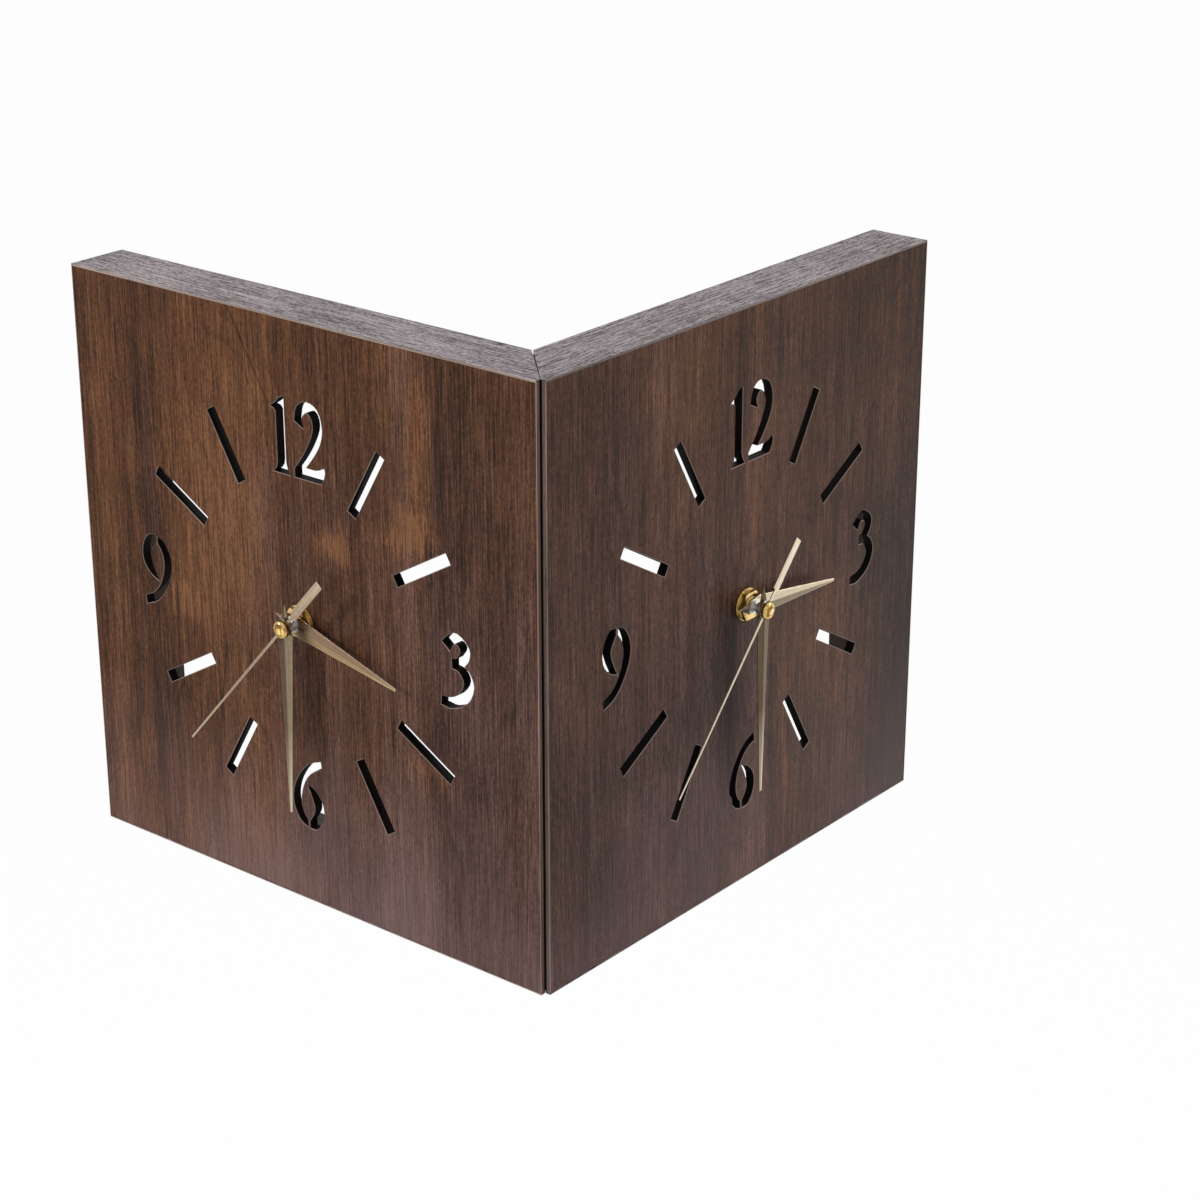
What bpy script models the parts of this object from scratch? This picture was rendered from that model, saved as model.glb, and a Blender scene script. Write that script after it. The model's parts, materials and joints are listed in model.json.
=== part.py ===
"""Corner wall clock: two square dials that wrap an outside wall corner.

Each half is a wooden tray with its own quartz movement and hands.
Metres, +Z up. The origin is the wall's corner edge at mid height. The wall fills +X +Y,
the right half hangs on the wall face y = 0 and the left half on the wall face x = 0.

Each half has its own frame, seen from in front of its dial: x to the right, y up and
z out of the face, with the origin on the hands' axis at the face.
"""
import math

import bmesh
import bpy
from mathutils import Matrix, Vector
from mathutils.geometry import interpolate_bezier

# Outer sizes of one half
WIDTH = 0.260
HEIGHT = 0.260
BOARD_THICKNESS = 0.0045
RAIL_WIDTH = 0.024
RAIL_DEPTH = 0.0239
BAND_THICKNESS = 0.0005

# Mitred corner between the halves
LAND_WIDTH = 0.0026
MITRE_GAP_FRONT = 0.00012
MITRE_GAP_BACK = 0.0004
APEX_RAIL_BACK_WIDTH = 0.0058

# Clearances
SEAT_GAP = 0.0001
RUNNING_GAP = 0.00006
END_PLAY = 0.0002
LOOSE_GAP = 0.0003

# Cut-outs of the dial
MARKER_WIDTH = 0.005
MARKER_LENGTH = 0.033
MARKER_INNER_RADIUS = 0.0625
DEGREES_PER_HOUR = 30
NUMERAL_HEIGHT = 0.0333
NUMERAL_RADIUS_UPRIGHT = 0.0793
NUMERAL_RADIUS_SIDE = 0.0862
NUMERAL_RISE = 0.0006
DRAWN_HEIGHT = 33.3
CURVE_STEPS = 3

# Movement case
CASE_SIDE = 0.056
CASE_DEPTH = 0.016
CASE_WALL = 0.0012
CASE_CORNER_RADIUS = 0.003
COVER_THICKNESS = 0.0012
BAY_WALL = 0.001
BAY_PLAY = 0.0008
BAY_END_GAP = 0.0018
BOSS_RADIUS = 0.001
POST_RADIUS = 0.0015

# Fixing of the movement in the board
BUSH_RADIUS = 0.004
BUSH_FLANGE_RADIUS = 0.0055
BUSH_FLANGE_THICKNESS = 0.001
BUSH_ABOVE_NUT = 0.0006
WASHER_RADIUS = 0.0072
WASHER_THICKNESS = 0.0006
NUT_ACROSS_FLATS = 0.012
NUT_THICKNESS = 0.0022
NUT_CHAMFER = 0.0005

# Shafts
SECOND_SHAFT_RADIUS = 0.00055
MINUTE_PIPE_WALL = 0.00112
HOUR_PIPE_WALL = 0.0007
PIVOT_RADIUS = 0.0004
PIVOT_DEPTH = 0.0012
STUD_RADIUS = 0.0007
KNOB_SHAFT_RADIUS = 0.0008

# Gear train: stacked levels behind the bush, numbered from the front
WHEEL_THICKNESS = 0.0008
LEVEL_PITCH = 0.0014
PINION_OVERHANG = 0.0001
TOOTH_ADDENDUM = 0.8
TOOTH_DEDENDUM = 1.25
HOUR_LEVEL = 0
MOTION_LEVEL = 1
CENTRE_LEVEL = 2
THIRD_LEVEL = 3
SECONDS_LEVEL = 4
INTERMEDIATE_LEVEL = 5
ROTOR_LEVEL = 6
ROTOR_TEETH = 6
INTERMEDIATE_TEETH = 30
INTERMEDIATE_PINION_TEETH = 8
SECONDS_TEETH = 48
SECONDS_PINION_TEETH = 6
THIRD_TEETH = 45
THIRD_PINION_TEETH = 6
CENTRE_TEETH = 48
CANNON_TEETH = 8
MOTION_TEETH = 24
MOTION_PINION_TEETH = 9
HOUR_TEETH = 36
KNOB_TEETH = 8

# Distance and direction from one arbor to the next, in metres and degrees
THIRD_DISTANCE = 0.0086
THIRD_DIRECTION = 60
INTERMEDIATE_DISTANCE = 0.00875
INTERMEDIATE_DIRECTION = 150
ROTOR_DISTANCE = 0.0063
ROTOR_DIRECTION = 120
MOTION_DISTANCE = 0.0084
MOTION_DIRECTION = -10
KNOB_DIRECTION = 45

# Motor, circuit board, battery and setting knob
MAGNET_RADIUS = 0.003
MAGNET_THICKNESS = 0.002
ROTOR_NECK_RADIUS = 0.0006
STATOR_AIR_GAP = 0.0004
STATOR_RIM = 0.0009
STATOR_THICKNESS = 0.001
COIL_RADIUS = 0.0033
COIL_LENGTH = 0.0146
COIL_CHEEK_SIDE = 0.008
COIL_CHEEK_THICKNESS = 0.0016
COIL_CENTRE_HEIGHT = 0.0195
CIRCUIT_WIDTH = 0.0072
CIRCUIT_THICKNESS = 0.001
CONTACT_THICKNESS = 0.0004
CONTACT_WIDTH = 0.0069
CIRCUIT_POST_SPREAD = 0.04
BATTERY_RADIUS = 0.0071
BATTERY_LENGTH = 0.0492
BATTERY_NUB_RADIUS = 0.00275
BATTERY_NUB_LENGTH = 0.0013
KNOB_RADIUS = 0.0048
KNOB_HEIGHT = 0.0032
KNOB_FLUTES = 16
KNOB_FLUTE_DEPTH = 0.0004
KNOB_FLUTE_START = 0.3
KNOB_FLUTE_END = 0.7

# Hands, as heights from one to the next and lengths from their axis
HOUR_HAND_RISE = 0.0007
MINUTE_HAND_RISE = 0.0047
SECOND_HAND_RISE = 0.0016
HAND_SHEET = 0.00035
HAND_RIDGE = 0.0007
HAND_TIP_HALF_WIDTH = 0.0007
HAND_WIDEST_AT = 0.003
HOUR_HAND_LENGTH = 0.0587
HOUR_HAND_TAIL = 0.0105
HOUR_HAND_HALF_WIDTH = 0.0045
HOUR_COLLET_WALL = 0.0008
HOUR_COLLET_DROP = 0.0003
MINUTE_HAND_LENGTH = 0.0845
MINUTE_HAND_TAIL = 0.011
MINUTE_HAND_HALF_WIDTH = 0.0041
MINUTE_COLLET_WALL = 0.0008
MINUTE_COLLET_DROP = 0.002
SECOND_HAND_LENGTH = 0.088
SECOND_HAND_WIDTH = 0.0014
SECOND_HAND_TIP_WIDTH = 0.0009
SECOND_HAND_THICKNESS = 0.0004
SECOND_NECK_LENGTH = 0.0095
SECOND_WEIGHT_LENGTH = 0.024
SECOND_WEIGHT_WIDTH = 0.004
SECOND_HUB_RADIUS = 0.002
SECOND_TUBE_WALL = 0.0007
SECOND_TUBE_DROP = 0.0004
CAP_RADIUS = 0.004
CAP_HEIGHT = 0.0026
CAP_RIM = 0.0007
CAP_STEPS = 5

# Hanging slot in the back of each top rail
SLOT_MOUTH_RADIUS = 0.0048
SLOT_NECK_WIDTH = 0.0046
SLOT_RUN = 0.010
SLOT_LIP = 0.0025
SLOT_DEPTH = 0.0068
SLOT_MOUTH_BELOW_CENTRE = 0.005

# Corner brackets and their screws
BRACKET_LEG = 0.030
BRACKET_HEIGHT = 0.014
BRACKET_THICKNESS = 0.002
BRACKET_SUNK = 0.0003
SCREW_FROM_CORNER = 0.018
SCREW_LENGTH = 0.016
SCREW_RADIUS = 0.0015
SCREW_HEAD_RADIUS = 0.003
SCREW_HEAD_HEIGHT = 0.0015

# Facets round a circle
FINE_FACETS = 20
COARSE_FACETS = 10

# Direction along each dial's x that leads away from the wall's corner
HALVES = {"left": -1, "right": 1}

# Rest angles of the hands, clockwise from twelve, in degrees
HAND_ANGLES = {
    "left": {"hour": 103.7, "minute": 180.8, "second": 221.6},
    "right": {"hour": 95.8, "minute": 179.4, "second": 221.5},
}

# Sizes that follow from the ones above
TRAY_DEPTH = BOARD_THICKNESS + SEAT_GAP + RAIL_DEPTH
DIAL_FROM_APEX = (LAND_WIDTH + WIDTH) / 2
RAIL_OUTER = WIDTH - BAND_THICKNESS - SEAT_GAP
RAIL_TOP = HEIGHT / 2 - BAND_THICKNESS - SEAT_GAP
RAIL_FRONT = -(BOARD_THICKNESS + SEAT_GAP)
RAIL_BACK = -TRAY_DEPTH
TOP_RAIL_CENTRE = RAIL_TOP - RAIL_WIDTH / 2
CASE_FRONT = -(BOARD_THICKNESS + SEAT_GAP)
CASE_FLOOR = CASE_FRONT - CASE_WALL
COVER_BACK = CASE_FRONT - CASE_DEPTH
COVER_FRONT = COVER_BACK + COVER_THICKNESS
CASE_INSIDE = CASE_SIDE / 2 - CASE_WALL
BAY_HEIGHT = 2 * (BATTERY_RADIUS + BAY_PLAY)
BAY_CENTRE = -CASE_INSIDE + BAY_HEIGHT / 2
BAY_TOP = -CASE_INSIDE + BAY_HEIGHT
BUSH_FLANGE_BACK = CASE_FLOOR - SEAT_GAP - BUSH_FLANGE_THICKNESS
WASHER_TOP = SEAT_GAP + WASHER_THICKNESS
NUT_TOP = WASHER_TOP + SEAT_GAP + NUT_THICKNESS
BUSH_TOP = NUT_TOP + BUSH_ABOVE_NUT
HOUR_PLANE = BUSH_TOP + HOUR_HAND_RISE
MINUTE_PLANE = HOUR_PLANE + MINUTE_HAND_RISE
SECOND_PLANE = MINUTE_PLANE + SECOND_HAND_RISE
HAND_TOP = HAND_SHEET / 2 + HAND_RIDGE
SECOND_STRIP_BOTTOM = SECOND_PLANE - SECOND_HAND_THICKNESS / 2
SECOND_STRIP_TOP = SECOND_PLANE + SECOND_HAND_THICKNESS / 2
CAP_BOTTOM = SECOND_STRIP_TOP + SEAT_GAP
CAP_TOP = CAP_BOTTOM + CAP_HEIGHT

# Looks: colour, metallic and roughness
FINISHES = {
    "walnut_laminate": ((0.082, 0.036, 0.020), 0.0, 0.45),
    "edge_laminate": ((0.150, 0.115, 0.118), 0.0, 0.55),
    "batten_wood": ((0.080, 0.058, 0.044), 0.0, 0.75),
    "black_plastic": ((0.020, 0.020, 0.022), 0.0, 0.50),
    "brass": ((0.560, 0.400, 0.155), 1.0, 0.22),
    "champagne_metal": ((0.260, 0.220, 0.150), 1.0, 0.36),
    "steel": ((0.500, 0.510, 0.530), 1.0, 0.35),
    "gear_plastic": ((0.620, 0.600, 0.540), 0.0, 0.45),
    "circuit_green": ((0.018, 0.120, 0.045), 0.0, 0.50),
    "copper_wire": ((0.620, 0.220, 0.090), 1.0, 0.35),
    "battery_jacket": ((0.050, 0.045, 0.040), 0.2, 0.40),
}


def corner(x, y):
    """A point of an outline where its edge turns sharply."""
    return (x, y, False)


def bend(x, y):
    """A point of an outline that its edge passes through smoothly."""
    return (x, y, True)


# Numerals in millimetres at the drawn height, each round its own centre
DIGIT_ONE = (
    corner(-4.9, 16.4), corner(-5.7, 16.4), bend(-7.9, 15.2), bend(-9.7, 13.2),
    corner(-12.8, 11.1), bend(-10.9, 10.7), corner(-9.6, 9.4), corner(-9.6, -12.0),
    bend(-10.3, -14.7), corner(-12.1, -16.65), corner(-2.4, -16.65), bend(-3.9, -14.5),
    corner(-4.8, -11.6),
)
DIGIT_TWO = (
    corner(0.7, 7.6), corner(6.1, 5.0), bend(4.8, 9.0), bend(8.4, 12.1), bend(11.2, 7.0),
    bend(9.0, 0.1), bend(4.5, -7.3), corner(0.0, -13.0), corner(0.0, -16.65),
    corner(14.7, -16.65), bend(16.3, -14.0), bend(17.0, -11.0), bend(16.2, -9.6),
    bend(14.2, -10.8), corner(11.6, -11.55), corner(6.3, -11.55), bend(11.0, -5.8),
    bend(14.7, 0.1), bend(16.2, 6.7), bend(13.9, 14.2), bend(7.8, 16.65), bend(2.4, 13.8),
)
DIGIT_THREE = (
    corner(-7.7, 11.6), corner(-3.4, 8.2), bend(-0.9, 12.0), bend(2.0, 9.8),
    corner(-0.4, 5.55), corner(-2.6, 5.45), corner(-2.6, 1.15), bend(1.2, 0.25),
    bend(3.6, -4.3), bend(0.2, -9.8), bend(-4.0, -11.9), corner(-8.4, -12.15),
    corner(-8.8, -16.1), bend(-3.0, -16.45), bend(5.4, -12.0), bend(8.9, -4.6),
    bend(7.1, 0.8), corner(4.0, 3.45), bend(6.4, 6.6), bend(6.7, 11.7), bend(0.4, 16.55),
    bend(-4.4, 14.9),
)
DIGIT_NINE_LOOP = (
    corner(-0.35, 16.4), bend(-4.5, 16.1), bend(-8.3, 10.8), bend(-8.5, 3.6),
    bend(-4.6, -1.7), corner(0.5, -4.0), bend(-2.3, 1.6), bend(-3.7, 7.3),
    corner(-0.35, 13.3),
)
DIGIT_NINE_STROKE = (
    corner(0.85, 16.35), bend(5.0, 14.4), bend(8.6, 7.9), bend(8.5, 0.8), bend(5.2, -6.6),
    bend(-0.8, -13.5), corner(-8.0, -16.65), corner(-8.5, -12.9), bend(-3.1, -10.4),
    bend(1.5, -5.2), bend(4.3, 3.3), bend(3.5, 9.3), corner(0.85, 13.2),
)


def finish(name):
    """The material of one finish, made when first asked for."""
    found = bpy.data.materials.get(name)
    if found:
        return found
    colour, metallic, roughness = FINISHES[name]
    material = bpy.data.materials.new(name)
    material.use_nodes = True
    shader = material.node_tree.nodes["Principled BSDF"]
    shader.inputs["Base Color"].default_value = (*colour, 1.0)
    shader.inputs["Metallic"].default_value = metallic
    shader.inputs["Roughness"].default_value = roughness
    material.diffuse_color = (*colour, 1.0)
    return material


def object_from(mesh_data, name):
    """An object that holds a mesh made with bmesh, its faces turned outwards."""
    bmesh.ops.recalc_face_normals(mesh_data, faces=mesh_data.faces)
    mesh = bpy.data.meshes.new(name)
    mesh_data.to_mesh(mesh)
    mesh_data.free()
    made = bpy.data.objects.new(name, mesh)
    bpy.context.scene.collection.objects.link(made)
    return made


def extruded(outline, low, high, placed=lambda u, v, w: (u, v, w)):
    """A prism over a closed outline of (u, v) points, from w = low to w = high."""
    shape = bmesh.new()
    bottom = [shape.verts.new(placed(u, v, low)) for u, v in outline]
    top = [shape.verts.new(placed(u, v, high)) for u, v in outline]
    shape.faces.new(bottom)
    shape.faces.new(top)
    for here in range(len(outline)):
        there = (here + 1) % len(outline)
        shape.faces.new((bottom[here], bottom[there], top[there], top[here]))
    return object_from(shape, "prism")


def block(low, high):
    """A box between two opposite corners."""
    outline = ((low[0], low[1]), (high[0], low[1]), (high[0], high[1]), (low[0], high[1]))
    return extruded(outline, low[2], high[2])


def turned(profile, facets=FINE_FACETS):
    """A round piece about the z axis from a closed profile of (radius, z) points."""
    shape = bmesh.new()
    rings = []
    for radius, z in profile:
        if radius == 0:
            rings.append([shape.verts.new((0, 0, z))] * facets)
            continue
        turns = [2 * math.pi * step / facets for step in range(facets)]
        points = [(radius * math.cos(turn), radius * math.sin(turn), z) for turn in turns]
        rings.append([shape.verts.new(point) for point in points])
    for ring, following in zip(rings, rings[1:] + rings[:1]):
        for here in range(facets):
            there = (here + 1) % facets
            corners = (ring[here], ring[there], following[there], following[here])
            distinct = list(dict.fromkeys(corners))
            if len(distinct) > 2:
                shape.faces.new(distinct)
    return object_from(shape, "turned")


def rod(radius, low, high, facets=FINE_FACETS):
    """A solid cylinder about the z axis."""
    return turned(((0, high), (radius, high), (radius, low), (0, low)), facets)


def bore_radius(shaft_radius, facets=FINE_FACETS, gap=RUNNING_GAP):
    """Radius of a faceted bore whose flats clear a shaft by the gap."""
    return (shaft_radius + gap) / math.cos(math.pi / facets)


def shifted(made, x, y, z=0.0):
    """Moves a shape's mesh within its own object."""
    made.data.transform(Matrix.Translation((x, y, z)))
    return made


def combine(target, tool, operation):
    """Joins, cuts or intersects a shape with a tool, which is used up."""
    step = target.modifiers.new(operation, "BOOLEAN")
    step.operation = operation
    step.solver = "EXACT"
    step.object = tool
    seen = target.evaluated_get(bpy.context.evaluated_depsgraph_get())
    result = bpy.data.meshes.new_from_object(seen)
    target.modifiers.clear()
    spent = target.data
    target.data = result
    bpy.data.meshes.remove(spent)
    bpy.data.objects.remove(tool)
    return target


def joined(target, *tools):
    """The union of a shape with others that overlap it."""
    for tool in tools:
        combine(target, tool, "UNION")
    return target


def cut(target, *tools):
    """A shape with others taken out of it."""
    for tool in tools:
        combine(target, tool, "DIFFERENCE")
    return target


def smooth_outline(knots, scale, centre):
    """Points of a closed outline through corners and smooth bends."""
    places = [Vector((x, y, 0)) * scale + Vector((*centre, 0)) for x, y, _ in knots]
    count = len(knots)
    points = []
    for here in range(count):
        there = (here + 1) % count
        start, end = places[here], places[there]
        if not knots[here][2] and not knots[there][2]:
            points.append(start.xy)
            continue
        reach = (end - start).length / 3
        leave = end - start
        arrive = end - start
        if knots[here][2]:
            leave = end - places[here - 1]
        if knots[there][2]:
            arrive = places[(there + 1) % count] - start
        curve = interpolate_bezier(start, start + leave.normalized() * reach,
                                   end - arrive.normalized() * reach, end, CURVE_STEPS + 1)
        points += [point.xy for point in curve[:-1]]
    return points


def rounded_square(side, radius, steps=3):
    """The outline of a square with rounded corners."""
    inner = side / 2 - radius
    points = []
    for quarter in range(4):
        middle = math.pi / 4 + quarter * math.pi / 2
        centre_x = math.copysign(inner, math.cos(middle))
        centre_y = math.copysign(inner, math.sin(middle))
        for step in range(steps + 1):
            angle = quarter * math.pi / 2 + step / steps * math.pi / 2
            points.append((centre_x + radius * math.cos(angle), centre_y + radius * math.sin(angle)))
    return points


def gear_module(distance, teeth, other_teeth):
    """Tooth size at which two gears mesh at a distance."""
    return 2 * distance / (teeth + other_teeth)


def gear_outline(teeth, module, first_tooth):
    """The outline of a gear with pointed teeth, one of them at the angle given."""
    points = []
    for tooth in range(teeth):
        angle = first_tooth + 2 * math.pi * tooth / teeth
        root_angle = angle - math.pi / teeth
        root = module * (teeth / 2 - TOOTH_DEDENDUM)
        tip = module * (teeth / 2 + TOOTH_ADDENDUM)
        points.append((root * math.cos(root_angle), root * math.sin(root_angle)))
        points.append((tip * math.cos(angle), tip * math.sin(angle)))
    return points


def level_top(level):
    """Front face of the wheels at one level of the train."""
    return BUSH_FLANGE_BACK - END_PLAY - level * LEVEL_PITCH


def level_bottom(level):
    """Back face of the wheels at one level of the train."""
    return level_top(level) - WHEEL_THICKNESS


def wheel(level, teeth, module, first_tooth):
    """A toothed wheel at its level, round its own arbor."""
    return extruded(gear_outline(teeth, module, first_tooth), level_bottom(level), level_top(level))


def pinion(level, teeth, module, first_tooth, overhang=PINION_OVERHANG):
    """A small toothed wheel, a little thicker than the wheel that it meshes with."""
    return extruded(gear_outline(teeth, module, first_tooth),
                    level_bottom(level) - overhang, level_top(level) + overhang)


def at_angle(distance, degrees):
    """The offset of one arbor from another."""
    return Vector((math.cos(math.radians(degrees)), math.sin(math.radians(degrees)))) * distance


def arbor_places():
    """Where each arbor stands, seen from the front of the dial."""
    centre = Vector((0.0, 0.0))
    intermediate = at_angle(INTERMEDIATE_DISTANCE, INTERMEDIATE_DIRECTION)
    motion = at_angle(MOTION_DISTANCE, MOTION_DIRECTION)
    return {
        "centre": centre,
        "third": at_angle(THIRD_DISTANCE, THIRD_DIRECTION),
        "intermediate": intermediate,
        "rotor": intermediate + at_angle(ROTOR_DISTANCE, ROTOR_DIRECTION),
        "motion": motion,
        "knob": motion + at_angle(MOTION_DISTANCE, KNOB_DIRECTION),
    }


ARBORS = arbor_places()


def meshed_phase(arbor, teeth, first_tooth, other_arbor, other_teeth):
    """First tooth angle of the other gear, so that its teeth fall into this gear's gaps."""
    line = ARBORS[other_arbor] - ARBORS[arbor]
    towards = math.atan2(line.y, line.x)
    turned_by = (first_tooth - towards) * teeth / (2 * math.pi)
    return towards + math.pi + (0.5 - turned_by) * 2 * math.pi / other_teeth


def across(side, from_apex):
    """The dial's x of a distance along the wall from the clock's sharp front edge."""
    return HALVES[side] * (from_apex - DIAL_FROM_APEX)


def casing_block(side, near, far, low, high, back, front):
    """A box of the casing between two distances from the apex, two heights and two depths."""
    xs = sorted((across(side, near), across(side, far)))
    return block((xs[0], low, back), (xs[1], high, front))


def mitre_cutter(side):
    """The space beyond a half's mitre face, where the other half stands."""
    front = Vector((LAND_WIDTH, LAND_WIDTH - MITRE_GAP_FRONT))
    back = Vector((TRAY_DEPTH + MITRE_GAP_BACK, TRAY_DEPTH))
    along = (back - front).normalized() * WIDTH / 10
    near = front - along
    far = back + along
    outline = [near, far, Vector((near.x, far.y))]
    placed = [(across(side, point.x), -point.y) for point in outline]
    return extruded(placed, -HEIGHT, HEIGHT, lambda u, v, w: (u, w, v))


def numeral_cutter(knots, centre, half_turn=False):
    """A cutter through the board in the shape of a numeral."""
    scale = NUMERAL_HEIGHT / DRAWN_HEIGHT
    if half_turn:
        scale = -scale
    return extruded(smooth_outline(knots, scale, centre), -2 * BOARD_THICKNESS, BOARD_THICKNESS)


def marker_cutter(hour):
    """A cutter through the board for the slot of an hour without a numeral."""
    low = (-MARKER_WIDTH / 2, MARKER_INNER_RADIUS, -2 * BOARD_THICKNESS)
    high = (MARKER_WIDTH / 2, MARKER_INNER_RADIUS + MARKER_LENGTH, BOARD_THICKNESS)
    made = block(low, high)
    made.data.transform(Matrix.Rotation(-math.radians(hour * DEGREES_PER_HOUR), 4, "Z"))
    return made


def dial_cutters():
    """Every cut-out of a dial: the numerals 12, 3, 6 and 9 and eight slots."""
    upper = (0.0, NUMERAL_RADIUS_UPRIGHT + NUMERAL_RISE)
    lower = (0.0, -NUMERAL_RADIUS_UPRIGHT + NUMERAL_RISE)
    right = (NUMERAL_RADIUS_SIDE, NUMERAL_RISE)
    left = (-NUMERAL_RADIUS_SIDE, NUMERAL_RISE)
    cutters = [
        numeral_cutter(DIGIT_ONE, upper),
        numeral_cutter(DIGIT_TWO, upper),
        numeral_cutter(DIGIT_THREE, right),
    ]
    for knots in (DIGIT_NINE_LOOP, DIGIT_NINE_STROKE):
        cutters.append(numeral_cutter(knots, left))
        cutters.append(numeral_cutter(knots, lower, half_turn=True))
    cutters += [marker_cutter(hour) for hour in range(1, 12) if hour % 3]
    return cutters


def front_board(side):
    """The dial board with its cut-outs, its land and its mitred edge."""
    made = casing_block(side, LAND_WIDTH, RAIL_OUTER, -RAIL_TOP, RAIL_TOP, -BOARD_THICKNESS, 0)
    hole = rod(bore_radius(BUSH_RADIUS, gap=SEAT_GAP), -2 * BOARD_THICKNESS, BOARD_THICKNESS)
    return cut(made, mitre_cutter(side), hole, *dial_cutters())


def edge_band(side):
    """The strip that covers the top, the outer end and the bottom of a half in one run."""
    made = casing_block(side, LAND_WIDTH, WIDTH, -HEIGHT / 2, HEIGHT / 2, RAIL_BACK, 0)
    core = casing_block(side, -WIDTH, WIDTH - BAND_THICKNESS, -HEIGHT / 2 + BAND_THICKNESS,
                        HEIGHT / 2 - BAND_THICKNESS, 2 * RAIL_BACK, TRAY_DEPTH)
    return cut(made, mitre_cutter(side), core)


def keyhole_cutter():
    """A slot that a screw's head enters at the bottom and slides up behind its lips."""
    back = RAIL_BACK - SLOT_DEPTH
    bottom = RAIL_BACK + SLOT_DEPTH
    lips = RAIL_BACK + SLOT_LIP
    neck = SLOT_NECK_WIDTH / 2
    made = rod(SLOT_MOUTH_RADIUS, back, bottom)
    run = block((-neck, 0, back), (neck, SLOT_RUN, lips + SEAT_GAP))
    room = block((-SLOT_MOUTH_RADIUS, 0, lips), (SLOT_MOUTH_RADIUS, SLOT_RUN + neck, bottom))
    joined(made, run, room)
    return shifted(made, 0, TOP_RAIL_CENTRE - SLOT_MOUTH_BELOW_CENTRE)


def bracket_pocket(side, centre_height):
    """The recess behind a rail's mitred end for one leg of a corner bracket."""
    depth = BRACKET_SUNK + BRACKET_THICKNESS + SEAT_GAP
    half = BRACKET_HEIGHT / 2 + LOOSE_GAP
    return casing_block(side, 0, TRAY_DEPTH + BRACKET_LEG + LOOSE_GAP, centre_height - half,
                        centre_height + half, 2 * RAIL_BACK, RAIL_BACK + depth)


def pilot_hole(side, centre_height):
    """The hole for a bracket's screw."""
    made = rod(bore_radius(SCREW_RADIUS, COARSE_FACETS), 2 * RAIL_BACK,
               RAIL_BACK + BRACKET_SUNK + SCREW_LENGTH + LOOSE_GAP, COARSE_FACETS)
    return shifted(made, across(side, TRAY_DEPTH + SCREW_FROM_CORNER), centre_height)


def long_rail(side, centre_height):
    """A batten along the top or the bottom, from the mitre to the outer end."""
    low = centre_height - RAIL_WIDTH / 2
    high = centre_height + RAIL_WIDTH / 2
    made = casing_block(side, LAND_WIDTH, RAIL_OUTER, low, high, RAIL_BACK, RAIL_FRONT)
    return cut(made, mitre_cutter(side), bracket_pocket(side, centre_height),
               pilot_hole(side, centre_height))


def top_rail(side):
    """The top batten, with the slot that hangs the half on a screw."""
    return cut(long_rail(side, TOP_RAIL_CENTRE), keyhole_cutter())


def bottom_rail(side):
    """The bottom batten."""
    return long_rail(side, -TOP_RAIL_CENTRE)


def upright_rail(side, near, far):
    """An upright batten between the top and the bottom ones."""
    high = RAIL_TOP - RAIL_WIDTH - SEAT_GAP
    return casing_block(side, near, far, -high, high, RAIL_BACK, RAIL_FRONT)


def outer_rail(side):
    """The batten at the outer end."""
    return upright_rail(side, RAIL_OUTER - RAIL_WIDTH, RAIL_OUTER)


def apex_rail(side):
    """The mitred batten at the wall's corner."""
    far = TRAY_DEPTH + MITRE_GAP_BACK + APEX_RAIL_BACK_WIDTH
    return cut(upright_rail(side, LAND_WIDTH, far), mitre_cutter(side))


def movement_case():
    """The movement's tray, open at the back, with its bearing bosses and posts."""
    square = rounded_square(CASE_SIDE, CASE_CORNER_RADIUS)
    hollow = rounded_square(CASE_SIDE - 2 * CASE_WALL, CASE_CORNER_RADIUS - CASE_WALL)
    rim = COVER_FRONT + SEAT_GAP
    made = cut(extruded(square, rim, CASE_FRONT), extruded(hollow, 2 * COVER_BACK, CASE_FLOOR))
    root = CASE_FRONT - CASE_WALL / 2
    half_bay = CASE_INSIDE - BAY_END_GAP
    made = joined(made, block((-half_bay, BAY_TOP, rim), (half_bay, BAY_TOP + BAY_WALL, root)))
    boss_end = level_top(CENTRE_LEVEL) + PINION_OVERHANG + END_PLAY
    knob_boss_end = level_top(MOTION_LEVEL) + PINION_OVERHANG + END_PLAY
    for name, end, pin in (("third", boss_end, PIVOT_RADIUS),
                           ("intermediate", boss_end, PIVOT_RADIUS),
                           ("rotor", boss_end, PIVOT_RADIUS),
                           ("knob", knob_boss_end, KNOB_SHAFT_RADIUS)):
        wall = BOSS_RADIUS - PIVOT_RADIUS
        boss = shifted(rod(pin + wall, end, root, COARSE_FACETS), *ARBORS[name])
        bearing = rod(bore_radius(pin, COARSE_FACETS), end - END_PLAY,
                      end + PIVOT_DEPTH + END_PLAY, COARSE_FACETS)
        made = cut(joined(made, boss), shifted(bearing, *ARBORS[name]))
    stud = rod(STUD_RADIUS, level_bottom(MOTION_LEVEL), root, COARSE_FACETS)
    made = joined(made, shifted(stud, *ARBORS["motion"]))
    for x, y in circuit_posts():
        post = rod(POST_RADIUS, circuit_front() + SEAT_GAP, root, COARSE_FACETS)
        made = joined(made, shifted(post, x, y))
    for x in cheek_centres():
        post = rod(POST_RADIUS, coil_front() + SEAT_GAP, root, COARSE_FACETS)
        made = joined(made, shifted(post, x, COIL_CENTRE_HEIGHT))
    return cut(made, rod(bore_radius(BUSH_RADIUS, gap=SEAT_GAP), 2 * CASE_FLOOR, 0))


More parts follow.
